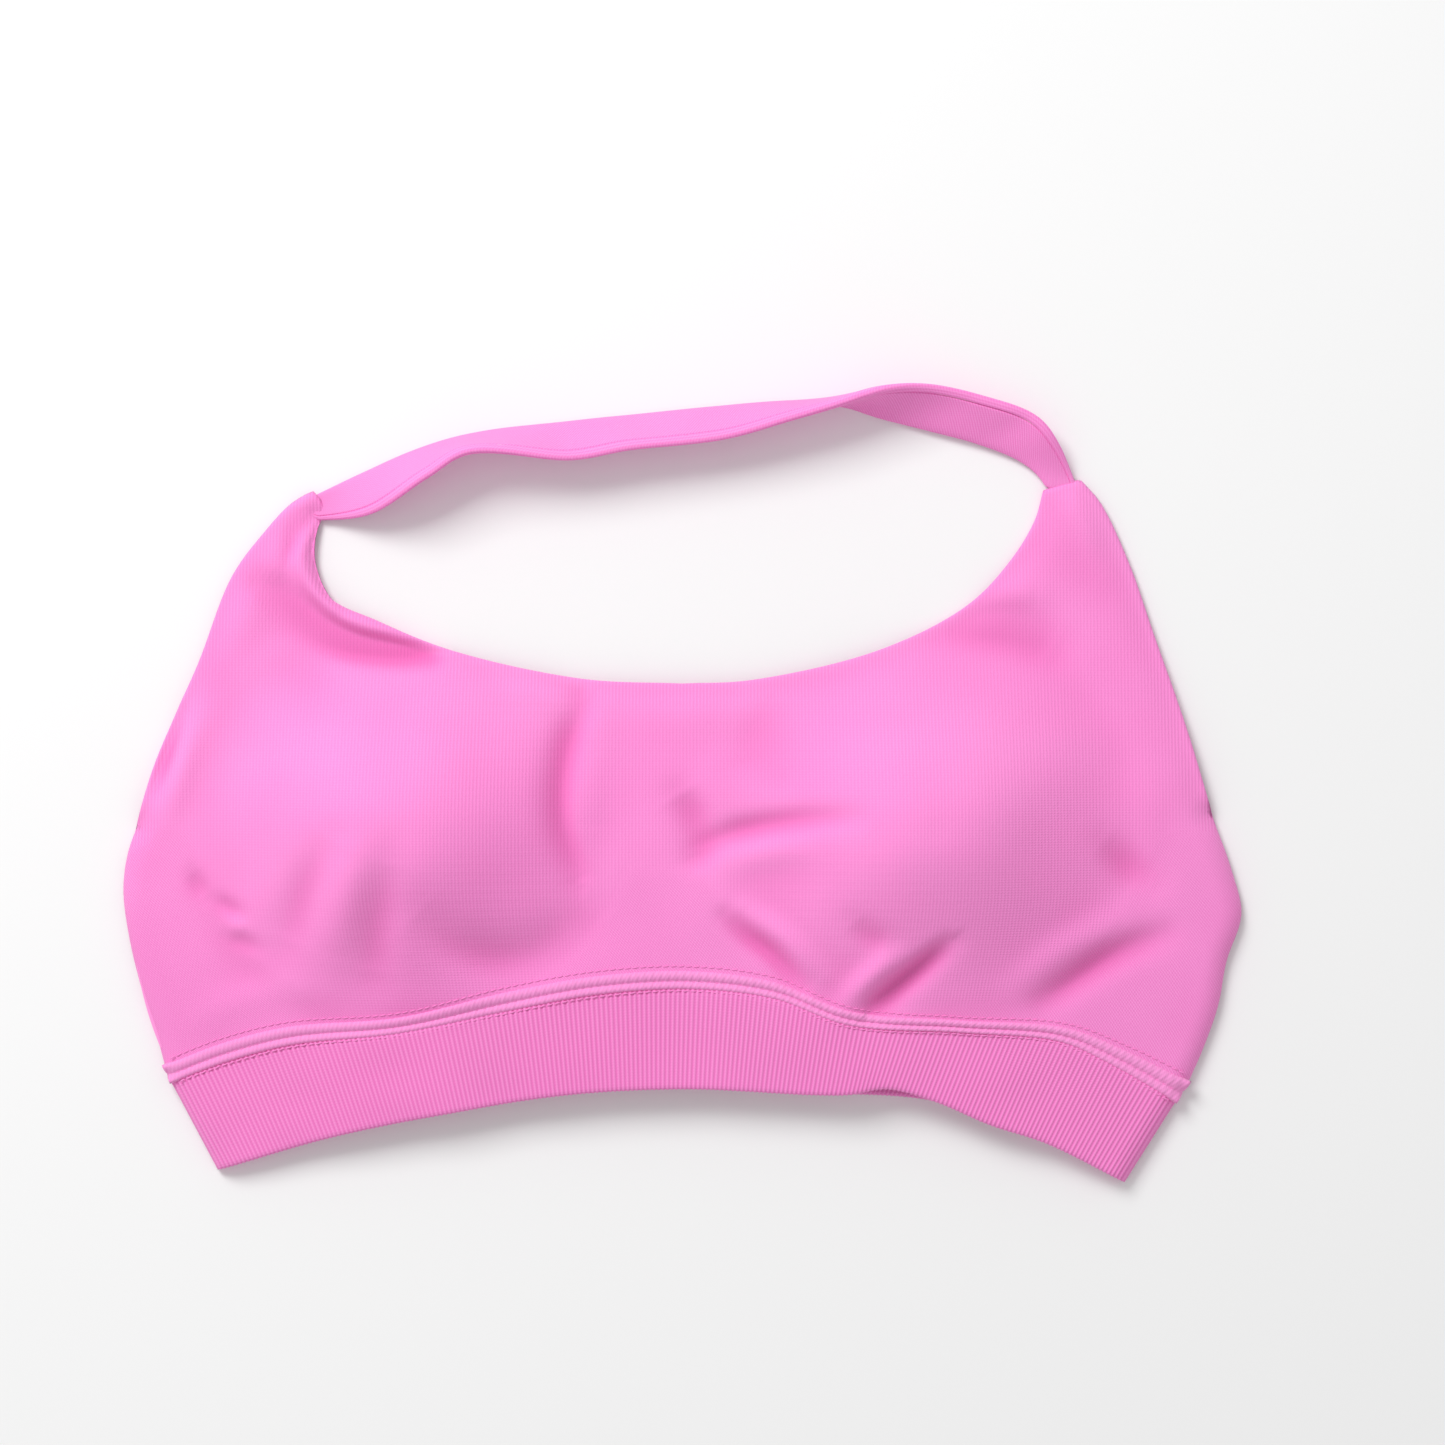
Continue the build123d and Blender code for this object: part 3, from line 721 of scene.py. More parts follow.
def flip_check(obj):
    """Turns the faces outwards on a closed skin whose grid ran the other way."""
    mesh = bmesh.new()
    mesh.from_mesh(obj.data)
    if mesh.calc_volume(signed=True) < 0:
        bmesh.ops.reverse_faces(mesh, faces=mesh.faces)
    mesh.to_mesh(obj.data)
    mesh.free()


# ------------------------------------------------------------------ geometry node trees
def new_tree(name, inputs):
    tree = bpy.data.node_groups.new(name, "GeometryNodeTree")
    tree.interface.new_socket("Geometry", in_out="INPUT", socket_type="NodeSocketGeometry")
    for label, kind, default in inputs:
        socket = tree.interface.new_socket(label, in_out="INPUT", socket_type=kind)
        if default is not None:
            socket.default_value = default
    tree.interface.new_socket("Geometry", in_out="OUTPUT", socket_type="NodeSocketGeometry")
    return tree


def add_node(tree, kind, settings=(), **links):
    node = tree.nodes.new(kind)
    for key, value in dict(settings).items():
        setattr(node, key, value)
    for key, value in links.items():
        label = key.replace("_", " ")
        socket = next(s for s in node.inputs if s.name == label and s.enabled)
        connect(tree, socket, value)
    return node


def connect(tree, socket, value):
    if isinstance(value, bpy.types.NodeSocket):
        tree.links.new(value, socket)
    else:
        socket.default_value = value


def rib_tree():
    """Raises the skin into rounded ribs that follow the rib count stored on its points."""
    tree = new_tree("Raised Ribs", [("Depth", "NodeSocketFloat", 0.3 * MM),
                                    ("Material", "NodeSocketMaterial", None)])
    start, end = tree.nodes.new("NodeGroupInput"), tree.nodes.new("NodeGroupOutput")
    rib = add_node(tree, "GeometryNodeInputNamedAttribute", {"data_type": "FLOAT"}, Name="rib")
    fade = add_node(tree, "GeometryNodeInputNamedAttribute", {"data_type": "FLOAT"}, Name="rib_fade")
    turn = add_node(tree, "ShaderNodeMath", {"operation": "MULTIPLY"})
    tree.links.new(rib.outputs["Attribute"], turn.inputs[0])
    turn.inputs[1].default_value = math.tau
    wave = add_node(tree, "ShaderNodeMath", {"operation": "COSINE"})
    tree.links.new(turn.outputs[0], wave.inputs[0])
    soft = add_node(tree, "ShaderNodeMath", {"operation": "MULTIPLY_ADD"})
    tree.links.new(wave.outputs[0], soft.inputs[0])
    soft.inputs[1].default_value = 0.5
    soft.inputs[2].default_value = -0.2
    faded = add_node(tree, "ShaderNodeMath", {"operation": "MULTIPLY"})
    tree.links.new(soft.outputs[0], faded.inputs[0])
    tree.links.new(fade.outputs["Attribute"], faded.inputs[1])
    deep = add_node(tree, "ShaderNodeMath", {"operation": "MULTIPLY"})
    tree.links.new(faded.outputs[0], deep.inputs[0])
    tree.links.new(start.outputs["Depth"], deep.inputs[1])
    normal = add_node(tree, "GeometryNodeInputNormal")
    push = add_node(tree, "ShaderNodeVectorMath", {"operation": "SCALE"})
    tree.links.new(normal.outputs["Normal"], push.inputs[0])
    tree.links.new(deep.outputs[0], push.inputs["Scale"])
    move = add_node(tree, "GeometryNodeSetPosition", {}, Geometry=start.outputs["Geometry"],
                    Offset=push.outputs[0])
    whole = add_node(tree, "GeometryNodeRealizeInstances", {}, Geometry=move.outputs[0])
    paint = add_node(tree, "GeometryNodeSetMaterial", {}, Geometry=whole.outputs[0],
                     Material=start.outputs["Material"])
    tree.links.new(paint.outputs[0], end.inputs[0])
    return tree


def stitch_tree():
    """Lays one short rounded stitch at every step along the lines of a wire mesh."""
    tree = new_tree("Stitch Row", [("Step", "NodeSocketFloat", 2.4 * MM),
                                   ("Length", "NodeSocketFloat", 2.0 * MM),
                                   ("Thread", "NodeSocketFloat", 0.45 * MM),
                                   ("Slant", "NodeSocketFloat", 0.0),
                                   ("Material", "NodeSocketMaterial", None)])
    start, end = tree.nodes.new("NodeGroupInput"), tree.nodes.new("NodeGroupOutput")
    curve = add_node(tree, "GeometryNodeMeshToCurve", {}, Mesh=start.outputs["Geometry"])
    points = add_node(tree, "GeometryNodeCurveToPoints", {"mode": "LENGTH"}, Curve=curve.outputs[0],
                      Length=start.outputs["Step"])
    ball = add_node(tree, "GeometryNodeMeshUVSphere", {}, Segments=6, Rings=5, Radius=0.5)
    size = add_node(tree, "ShaderNodeCombineXYZ", {}, X=start.outputs["Thread"],
                    Y=start.outputs["Thread"], Z=start.outputs["Length"])
    aim = add_node(tree, "FunctionNodeAlignRotationToVector", {"axis": "Z"},
                   Vector=points.outputs["Tangent"])
    tilt = add_node(tree, "ShaderNodeCombineXYZ", {}, Z=start.outputs["Slant"])
    turn = add_node(tree, "FunctionNodeRotateRotation", {"rotation_space": "GLOBAL"},
                    Rotation=aim.outputs[0], Rotate_By=tilt.outputs[0])
    lay = add_node(tree, "GeometryNodeInstanceOnPoints", {}, Points=points.outputs["Points"],
                   Instance=ball.outputs["Mesh"], Rotation=turn.outputs[0], Scale=size.outputs[0])
    whole = add_node(tree, "GeometryNodeRealizeInstances", {}, Geometry=lay.outputs[0])
    soft = add_node(tree, "GeometryNodeSetShadeSmooth", {}, Geometry=whole.outputs[0])
    paint = add_node(tree, "GeometryNodeSetMaterial", {}, Geometry=soft.outputs[0],
                     Material=start.outputs["Material"])
    tree.links.new(paint.outputs[0], end.inputs[0])
    return tree


def bake_nodes(obj, tree, values):
    """Runs a node tree on an object with the given inputs and keeps the result as a plain mesh."""
    modifier = obj.modifiers.new(tree.name, "NODES")
    modifier.node_group = tree
    sockets = {s.name: s.identifier for s in tree.interface.items_tree if s.in_out == "INPUT"}
    for label, value in values.items():
        modifier[sockets[label]] = value
    if "Material" not in values and obj.data.materials:
        modifier[sockets["Material"]] = obj.data.materials[0]
    graph = bpy.context.evaluated_depsgraph_get()
    graph.update()
    made = bpy.data.meshes.new_from_object(obj.evaluated_get(graph), depsgraph=graph)
    if not len(made.polygons):
        raise RuntimeError(f"{obj.name}: the node tree {tree.name} made nothing")
    obj.modifiers.remove(modifier)
    obj.data = made
    return obj


def wire_object(name, lines):
    """A mesh of open wire lines, one for each list of points."""
    verts, edges = [], []
    for line in lines:
        start = len(verts)
        verts.extend(tuple(p) for p in line)
        edges.extend((start + k, start + k + 1) for k in range(len(line) - 1))
    mesh = bpy.data.meshes.new(name)
    mesh.from_pydata(verts, edges, [])
    obj = bpy.data.objects.new(name, mesh)
    bpy.context.scene.collection.objects.link(obj)
    return obj


# ------------------------------------------------------------------ band seam
def seam_profile(t):
    """Height of the seam across its width: a broad ridge, a stitched groove and a narrow ridge."""
    broad = np.clip(np.sin(np.pi * np.clip(t / 0.56, 0, 1)), 0, 1) ** 0.6
    narrow = np.clip(np.sin(np.pi * np.clip((t - 0.58) / 0.42, 0, 1)), 0, 1) ** 0.6
    return 1.25 * MM * broad + 0.95 * MM * narrow - 0.35 * MM


def side_round(points, line, reach):
    """0 at either end of a line and 1 well inside, rounded like a fold."""
    d = np.minimum(np.linalg.norm(points - line[0], axis=1), np.linalg.norm(points - line[-1], axis=1))
    return rounded(np.clip(d / reach, 0, 1))


def build_seam(name, front, material):
    top_line, low_line = smooth_line(SEAM_TOP, 900), smooth_line(SEAM_BOTTOM, 900)
    u = eased(620, (0.0, 0.001, 0.003))
    v = np.linspace(0, 1, 19)
    top, low = at_share(top_line, u), at_share(low_line, u)
    plan = (top[None] * (1 - v[:, None, None]) + low[None] * v[:, None, None]).reshape(-1, 2)
    t = v.repeat(len(u))
    middle_line = (top + low) / 2
    ends = side_round(plan, middle_line, SEAM_FOLD)
    pucker = 0.12 * MM * np.sin(u * line_length(top_line) / (2.6 * MM) * math.tau)
    pucker = pucker[None, :].repeat(len(v), 0).ravel()
    if front:
        base = front_height(plan) + seam_profile(t) + pucker
        z = SEAM_FOLD_TOP + (base - SEAM_FOLD_TOP) * ends
        thick = np.full(len(plan), 2.6 * MM) * (0.3 + 0.7 * ends)
    else:
        z = 1.75 * MM + 0.1 * MM * np.sin(t * math.tau)
        thick = np.full(len(plan), 1.65 * MM)
    edge = np.sqrt(np.clip(1 - (2 * np.abs(t - 0.5)) ** 8, 0, 1))
    edge = edge * np.where((u > 1e-9) & (u < 1 - 1e-9), 1.0, 0.0)[None, :].repeat(len(v), 0).ravel()
    middle = z - thick / 2
    upper = np.column_stack([plan, middle + thick / 2 * edge])
    lower = np.column_stack([plan, middle - thick / 2 * edge])
    verts, faces, keep = shell(upper, lower, len(v), len(u))
    obj = make_object(name, verts, faces, material)
    flip_check(obj)
    along = (u * line_length(top_line))[None, :].repeat(len(v), 0).ravel()
    set_uv(obj, np.column_stack([along, t * 6 * MM])[keep])
    return obj


def build_seam_stitches(material, tree):
    top_line, low_line = smooth_line(SEAM_TOP, 900), smooth_line(SEAM_BOTTOM, 900)
    rows = {-0.16: 0.10, 0.57: 0.0, 1.04: 0.1}
    lines = []
    for t, rise in rows.items():
        plan = top_line * (1 - t) + low_line * t
        plan = plan[12:-12]
        z = front_height(plan) + rise * MM
        if 0 < t < 1:
            z = z + seam_profile(np.full(len(plan), t)) + 0.12 * MM
        ends = side_round(plan, (top_line + low_line) / 2, SEAM_FOLD)
        z = SEAM_FOLD_TOP + (z - SEAM_FOLD_TOP) * ends
        lines.append(np.column_stack([plan, z]))
    wire = wire_object("front_seam_stitches", lines)
    wire.data.materials.append(material)
    return bake_nodes(wire, tree, {"Step": 2.5 * MM, "Length": 2.1 * MM, "Thread": 0.5 * MM,
                                   "Slant": 0.12})


# ------------------------------------------------------------------ neck strap
STRAP_WIDTH = 21.0 * MM
STRAP_THICK = 3.0 * MM
STRAP_STATIONS = 330


def strap_guides():
    foot = smooth_line(STRAP_FOOT, STRAP_STATIONS)
    rim = smooth_line(STRAP_RIM, STRAP_STATIONS)
    share = np.linspace(0, 1, STRAP_STATIONS)
    away = smoothstep(0.01, 0.14, np.minimum(share, 1 - share))
    gap = rim - foot
    width = np.linalg.norm(gap, axis=1)
    full = np.sqrt(np.clip(STRAP_WIDTH ** 2 - width ** 2, 0, None))
    rise = 0.8 * MM + (full - 0.8 * MM) * away
    edge = np.column_stack([gap, rise])
    low = np.column_stack([foot, np.zeros(len(foot))])
    ahead = np.gradient((foot + rim) / 2, axis=0)
    ahead = np.column_stack([ahead, np.zeros(len(foot))])
    ahead /= np.linalg.norm(ahead, axis=1)[:, None]
    face = np.cross(ahead, edge)
    face /= np.linalg.norm(face, axis=1)[:, None]
    return low, edge, face, away, share


STRAP_CREASE = 0.845  # share of the width at which the folded edge is sewn down


def strap_profile():
    """Shares across the strap and half-thickness at each, once round from foot to rim and back."""
    beside = np.array([-0.05, -0.03, -0.018, -0.009, 0.0, 0.009, 0.018, 0.03, 0.05])
    half = np.concatenate([0.5 - 0.5 * np.cos(np.linspace(0, np.pi * 0.62, 14)),
                           STRAP_CREASE + beside, [0.925, 0.95, 0.97, 0.985, 0.996]])
    across = np.concatenate([half, [1.0], half[:0:-1]])
    swing = np.sqrt(np.clip(1 - (2 * np.abs(across - 0.5)) ** 7, 0, 1))
    body = np.where(across > STRAP_CREASE, 1.12, 1.0)
    groove = 1 - 0.5 * np.exp(-((across - STRAP_CREASE) / 0.012) ** 2)
    side = np.ones(len(across))
    side[len(half) + 1:] = -1
    return across, side * swing * body * groove


def build_strap(material):
    low, edge, face, away, share = strap_guides()
    across, side = strap_profile()
    ring = len(across)
    thick = (2.0 * MM + (STRAP_THICK - 2.0 * MM) * away) / 2
    tuck = 0.55 + 0.45 * smoothstep(0, 0.012, np.minimum(share, 1 - share))
    lift = np.abs(face[:, 2]) * thick + 0.35 * MM
    base = low + np.column_stack([np.zeros((len(low), 2)), lift])
    centre = 0.5 + (across[None, :] - 0.5) * tuck[:, None]
    verts = (base[:, None] + edge[:, None] * centre[..., None]
             + face[:, None] * (thick[:, None] * side[None, :] * tuck[:, None])[..., None])
    wobble = 0.18 * MM * np.sin(share * 61.0)[:, None] * np.sin(across * 3.0)[None, :]
    verts = verts + face[:, None] * wobble[..., None]
    stations = len(low)
    faces = grid_faces(stations, ring, wrap=True)
    caps = [tuple(range(ring))[::-1], tuple((stations - 1) * ring + k for k in range(ring))]
    obj = make_object("neck_strap", verts.reshape(-1, 3), list(faces) + caps, material)
    flip_check(obj)
    middle = (base + edge / 2)[:, :3]
    along = np.concatenate([[0], np.cumsum(np.linalg.norm(np.diff(middle, axis=0), axis=1))])
    uv = np.stack(np.broadcast_arrays(along[:, None], across[None, :] * STRAP_WIDTH), -1).reshape(-1, 2)
    set_uv(obj, uv[:, ::-1])
    set_value(obj, "twill", np.ones(len(uv)))
    set_value(obj, "hem", smoothstep(0.84, 0.85, np.broadcast_to(across[None, :], (stations, ring)).ravel()))
    return obj, float(along[-1])


# ------------------------------------------------------------------ hidden tapes and small pieces
def ribbon(name, line, heights, width, thick, material):
    """A flat tape of rounded section centred on a line, at the given heights."""
    line = np.asarray(line)
    ahead = np.gradient(line, axis=0)
    ahead /= np.linalg.norm(ahead, axis=1)[:, None]
    left = np.column_stack([-ahead[:, 1], ahead[:, 0]])
    ring = [(-1, 0), (-0.92, 0.8), (-0.5, 1), (0.5, 1), (0.92, 0.8), (1, 0), (0.92, -0.8), (0.5, -1),
            (-0.5, -1), (-0.92, -0.8)]
    verts = []
    for p, side, z in zip(line, left, heights):
        for a, b in ring:
            verts.append((*(p + side * a * width / 2), z + b * thick / 2))
    faces = list(grid_faces(len(line), len(ring), wrap=True))
    faces += [tuple(range(len(ring)))[::-1], tuple((len(line) - 1) * len(ring) + k for k in range(len(ring)))]
    obj = make_object(name, verts, faces, material)
    flip_check(obj)
    run = np.concatenate([[0], np.cumsum(np.linalg.norm(np.diff(line, axis=0), axis=1))])
    uv = [(s, k * width / 5) for s in run for k in range(len(ring))]
    set_uv(obj, uv)
    return obj


def shifted(line, distance):
    ahead = np.gradient(line, axis=0)
    ahead /= np.linalg.norm(ahead, axis=1)[:, None]
    return line + np.column_stack([-ahead[:, 1], ahead[:, 0]]) * distance


def band_middle(line, front):
    """Height of the middle of a band's thickness along a line from one side fold to the other."""
    if not front:
        return np.full(len(line), 0.15 * MM + BAND_THICK / 2)
    return band_roof(line, side_round(line, line, SIDE_FOLD)) - BAND_THICK / 2


def under_front(line):
    """Height between the front cloth and its lining, where the edge elastics lie."""
    return front_height(line) - 1.8 * MM * np.exp(-(5 / 7) ** 2) - FRONT_CLOTH - 1.2 * MM


# ------------------------------------------------------------------ shader building
class Num:
    """A number socket of a material, so that shader maths reads as plain expressions."""

    def __init__(self, paint, socket):
        self.paint = paint
        self.socket = socket

    def _math(self, operation, *values):
        node = self.paint.add("ShaderNodeMath", {"operation": operation})
        for slot, value in zip(node.inputs, values):
            self.paint.feed(slot, value)
        return Num(self.paint, node.outputs[0])

    def __add__(self, other):
        return self._math("ADD", self, other)

    def __radd__(self, other):
        return self._math("ADD", other, self)

    def __sub__(self, other):
        return self._math("SUBTRACT", self, other)

    def __rsub__(self, other):
        return self._math("SUBTRACT", other, self)

    def __mul__(self, other):
        return self._math("MULTIPLY", self, other)

    def __rmul__(self, other):
        return self._math("MULTIPLY", other, self)

    def wave(self, pitch):
        """A smooth wave from 0 to 1 that repeats every pitch."""
        return self._math("COSINE", self * (math.tau / pitch)) * 0.5 + 0.5

    def clamp(self):
        return self._math("MINIMUM", self._math("MAXIMUM", self, 0.0), 1.0)


class Paint:
    """Builds one node material: add nodes, feed sockets, and mix colours."""

    def __init__(self, name):
        self.material = bpy.data.materials.new(name)
        self.material.use_nodes = True
        self.tree = self.material.node_tree
        self.shader = self.tree.nodes["Principled BSDF"]

    def add(self, kind, settings=(), **inputs):
        """A node of a type, with its settings set first and then its sockets' values or links."""
        node = self.tree.nodes.new(kind)
        for key, value in dict(settings).items():
            setattr(node, key, value)
        for key, value in inputs.items():
            self.feed(node.inputs[key.replace("_", " ")], value)
        return node

    def feed(self, slot, value):
        if isinstance(value, Num):
            value = value.socket
        if isinstance(value, bpy.types.NodeSocket):
            self.tree.links.new(value, slot)
        else:
            slot.default_value = value

    def set(self, **inputs):
        for key, value in inputs.items():
            self.feed(self.shader.inputs[key.replace("_", " ")], value)

    def uv(self, name="Knit"):
        """The knit coordinates of a piece in metres: along the rows, and along the wales."""
        node = self.add("ShaderNodeUVMap", {"uv_map": name})
        parts = self.add("ShaderNodeSeparateXYZ", Vector=node.outputs["UV"])
        return Num(self, parts.outputs["X"]), Num(self, parts.outputs["Y"])

    def value(self, name):
        node = self.add("ShaderNodeAttribute", {"attribute_name": name})
        return Num(self, node.outputs["Fac"])

    def noise(self, scale, detail=2.0, stretch=(1, 1, 1)):
        place = self.add("ShaderNodeTexCoord")
        scaled = self.add("ShaderNodeMapping", Vector=place.outputs["Object"], Scale=stretch)
        node = self.add("ShaderNodeTexNoise", Vector=scaled.outputs["Vector"], Scale=scale,
                        Detail=detail)
        return Num(self, node.outputs["Fac"])

    def mix(self, factor, first, second):
        """A colour between two others."""
        node = self.add("ShaderNodeMix", {"data_type": "RGBA"})
        self.feed(node.inputs["Factor"], factor)
        for slot, colour in ((node.inputs[6], first), (node.inputs[7], second)):
            self.feed(slot, colour)
        return node.outputs[2]

    def bump(self, height, distance, strength=1.0):
        node = self.add("ShaderNodeBump", Height=height, Distance=distance, Strength=strength)
        self.set(Normal=node.outputs["Normal"])


def rgb(colour, factor=1.0):
    return (colour[0] * factor, colour[1] * factor, colour[2] * factor, 1.0)


def knit_material(name, colour, sheen):
    """Fine jersey on the cups and a diagonal twill knit elsewhere, from one pink yarn, with painted shade in
    its colour: low parts of the knit pattern are darker and raised loops lighter, creases of the cloth are
    darkened, and noise adds random variation.
    """
    paint = Paint(name)
    across, along = paint.uv()
    twill = paint.value("twill")
    hem = paint.value("hem")
    jitter = (paint.noise(900.0, 2.0) - 0.5) * (0.35 * MM)
    wales = (across + jitter).wave(1.12 * MM)
    loops = (along + (wales * 0.25 * MM)).wave(0.86 * MM)
    jersey = wales * 0.62 + loops * 0.38
    slant = (across + along * 1.0 + jitter).wave(0.98 * MM)
    cross = (across - along * 0.45).wave(1.05 * MM)
    diagonal = slant * 0.78 + cross * 0.22
    height = jersey + (diagonal - jersey) * twill
    height = height + (wales - height) * (hem * 0.5)
    fuzz = paint.noise(2600.0, 3.0)
    slow = paint.noise(16.0, 3.0)
    strength = 0.30 + twill * 0.45
    # Partly painted shade: the knit pattern's low parts take the darker pink and its raised loops the lighter
    # pink; the fine and slow noise vary the colour at random.
    tone_and_shade = ((height - 0.5) * strength + (fuzz - 0.5) * 0.30 + (slow - 0.5) * 0.40 + 0.62).clamp()
    deep = rgb((colour[0] * 0.90, colour[1] * 0.60, colour[2] * 0.80))
    light = rgb((min(1.0, colour[0] * 1.03), colour[1] * 1.18, colour[2] * 1.08))
    # Painted crease shade: shade is the darker pink that the knit is mixed towards in creases and at the foot
    # of slopes.
    shade = rgb((colour[0] * 0.78, colour[1] * 0.42, colour[2] * 0.62))
    paint.set(Base_Color=paint.mix(paint.value("painted_crease_shade") * 0.85, paint.mix(tone_and_shade, deep, light), shade))
    paint.set(Roughness=0.94 - 0.22 * height)
    paint.set(Sheen_Weight=sheen, Sheen_Roughness=0.45, Specular_IOR_Level=0.32)
    paint.set(Sheen_Tint=(1.0, 0.78, 0.92, 1.0))
    paint.bump(height * 0.8 + fuzz * 0.2, 0.2 * MM, 0.7)
    return paint.material


def rib_material(name, colour):
    """Ribbed knit with painted shade: the raised wales are painted lighter and the grooves between them
    darker, with fine loops along each.
    """
    paint = Paint(name)
    across, along = paint.uv()
    rib = paint.value("rib").wave(1.0)
    fuzz = paint.noise(2400.0, 3.0)
    slow = paint.noise(18.0, 3.0, (1.0, 1.0, 1.0))
    loops = (along + (rib * 0.3 * MM)).wave(0.9 * MM)
    strand = (across * 1.0).wave(0.4 * MM)
    # Partly painted shade: the raised wales take the lighter pink and the grooves the darker; the loops and
    # noise add small random variation.
    tone_and_shade = (rib * 0.62 + loops * 0.10 + fuzz * 0.14 + slow * 0.22).clamp()
    deep = rgb((colour[0] * 0.82, colour[1] * 0.62, colour[2] * 0.76))
    light = rgb((colour[0] * 1.02, colour[1] * 1.2, colour[2] * 1.07))
    paint.set(Base_Color=paint.mix(tone_and_shade, deep, light))
    paint.set(Roughness=0.95 - 0.15 * rib)
    paint.set(Sheen_Weight=0.2, Sheen_Roughness=0.5, Specular_IOR_Level=0.3)
    paint.bump(loops * 0.5 + strand * 0.2 + fuzz * 0.3, 0.16 * MM, 0.6)
    return paint.material


def seam_material(name, colour):
    """Looped cover thread laid close together across the seam, with painted shade: the raised loops are
    lighter and the dips between them darker.
    """
    paint = Paint(name)
    across, along = paint.uv()
    loops = (across + along * 0.55).wave(1.5 * MM)
    turns = (across - along * 0.4).wave(0.75 * MM)
    fuzz = paint.noise(2200.0, 3.0)
    height = loops * 0.6 + turns * 0.25 + fuzz * 0.15
    slow = paint.noise(20.0, 2.0)
    # Partly painted shade: the raised parts of the thread pattern are lighter and its low parts darker; slow
    # noise varies the colour at random.
    tone_and_shade = (height * 0.5 + slow * 0.5).clamp()
    light = rgb((colour[0] * 1.03, colour[1] * 1.25, colour[2] * 1.1))
    paint.set(Base_Color=paint.mix(tone_and_shade, rgb(colour, 0.88), light))
    paint.set(Roughness=0.92 - 0.2 * height)
    paint.set(Sheen_Weight=0.2, Specular_IOR_Level=0.35)
    paint.bump(height, 0.16 * MM, 0.7)
    return paint.material


def plain_material(name, colour, rough, pitch, depth, sheen=0.0):
    """Smooth fine cloth, foam or tape, with a small crossing texture on object coordinates, and painted
    shade: the texture's raised cells are lighter and its low parts darker.
    """
    paint = Paint(name)
    place = paint.add("ShaderNodeTexCoord")
    parts = paint.add("ShaderNodeSeparateXYZ", Vector=place.outputs["Object"])
    x, y = Num(paint, parts.outputs["X"]), Num(paint, parts.outputs["Y"])
    cells = x.wave(pitch) * y.wave(pitch)
    fuzz = paint.noise(1800.0, 3.0)
    slow = paint.noise(22.0, 2.0)
    # Partly painted shade: the raised cells are lighter and the low parts darker; the noise varies the colour
    # at random.
    tone_and_shade = (cells * 0.4 + fuzz * 0.3 + slow * 0.3).clamp()
    paint.set(Base_Color=paint.mix(tone_and_shade, rgb(colour, 0.86), rgb(colour, 1.04)))
    paint.set(Roughness=rough + 0.1 - 0.15 * cells)
    paint.set(Sheen_Weight=sheen, Specular_IOR_Level=0.3)
    paint.bump(cells * 0.7 + fuzz * 0.3, depth, 0.6)
    return paint.material


def floor_material(colour):
    paint = Paint("pale floor")
    paint.set(Base_Color=rgb(colour), Roughness=0.85, Specular_IOR_Level=0.2)
    return paint.material


# ------------------------------------------------------------------ settings a user would change
class GarmentSettings(bpy.types.PropertyGroup):
    yarn: bpy.props.FloatVectorProperty(
        name="Yarn colour", description="Colour of the knit cloth", subtype="COLOR", size=3,
        min=0.0, max=1.0, default=(0.95, 0.275, 0.66))
    rib: bpy.props.FloatVectorProperty(
        name="Rib colour", description="Colour of the ribbed underband", subtype="COLOR", size=3,
        min=0.0, max=1.0, default=(0.94, 0.245, 0.625))
    thread: bpy.props.FloatVectorProperty(
        name="Thread colour", description="Colour of the seam thread", subtype="COLOR", size=3,
        min=0.0, max=1.0, default=(0.95, 0.275, 0.65))
    foam: bpy.props.FloatVectorProperty(
        name="Pad colour", description="Colour of the moulded pads", subtype="COLOR", size=3,
        min=0.0, max=1.0, default=(0.90, 0.52, 0.70))
    sheen: bpy.props.FloatProperty(
        name="Sheen", description="Soft shine of the knit's fibres", subtype="FACTOR",
        min=0.0, max=1.0, default=0.18)


class StageSettings(bpy.types.PropertyGroup):
    floor: bpy.props.FloatVectorProperty(
        name="Floor colour", description="Colour of the table under the garment", subtype="COLOR",
        size=3, min=0.0, max=1.0, default=(0.885, 0.885, 0.885))
    camera_height: bpy.props.FloatProperty(
        name="Camera height", description="Height of the lens over the table", subtype="DISTANCE",
        unit="LENGTH", min=0.3, max=5.0, default=1.14)
    key_power: bpy.props.FloatProperty(
        name="Key light", description="Power of the large soft light, in watts", min=0.0, max=200.0,
        default=24.0)
    sky: bpy.props.FloatProperty(
        name="Sky light", description="Strength of the even light from all round", min=0.0, max=5.0,
        default=0.60)


def dress(piece, body, nodes):
    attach(piece, body)
    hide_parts(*nodes)


class GARMENT_OT_front(bpy.types.Operator):
    """Lays the knitted front over the pads, with its folds, hems and rolled edges"""
    bl_idname = "garment.front"
    bl_label = "Front cloth"

    def execute(self, context):
        settings = context.scene.garment
        knit = knit_material("pink knit", settings.yarn, settings.sheen)
        obj = build_front_cloth(knit)
        dress(obj, "garment", ["front_outer_panel"])
        return {"FINISHED"}


class GARMENT_OT_lining(bpy.types.Operator):
    """Lays the fine lining under the pads"""
    bl_idname = "garment.lining"
    bl_label = "Front lining"

    def execute(self, context):
        settings = context.scene.garment
        cloth = knit_material("pink lining", [c * 0.97 for c in settings.yarn], 0.1)
        obj = build_lining(cloth)
        dress(obj, "garment", ["front_lining_panel"])
        return {"FINISHED"}


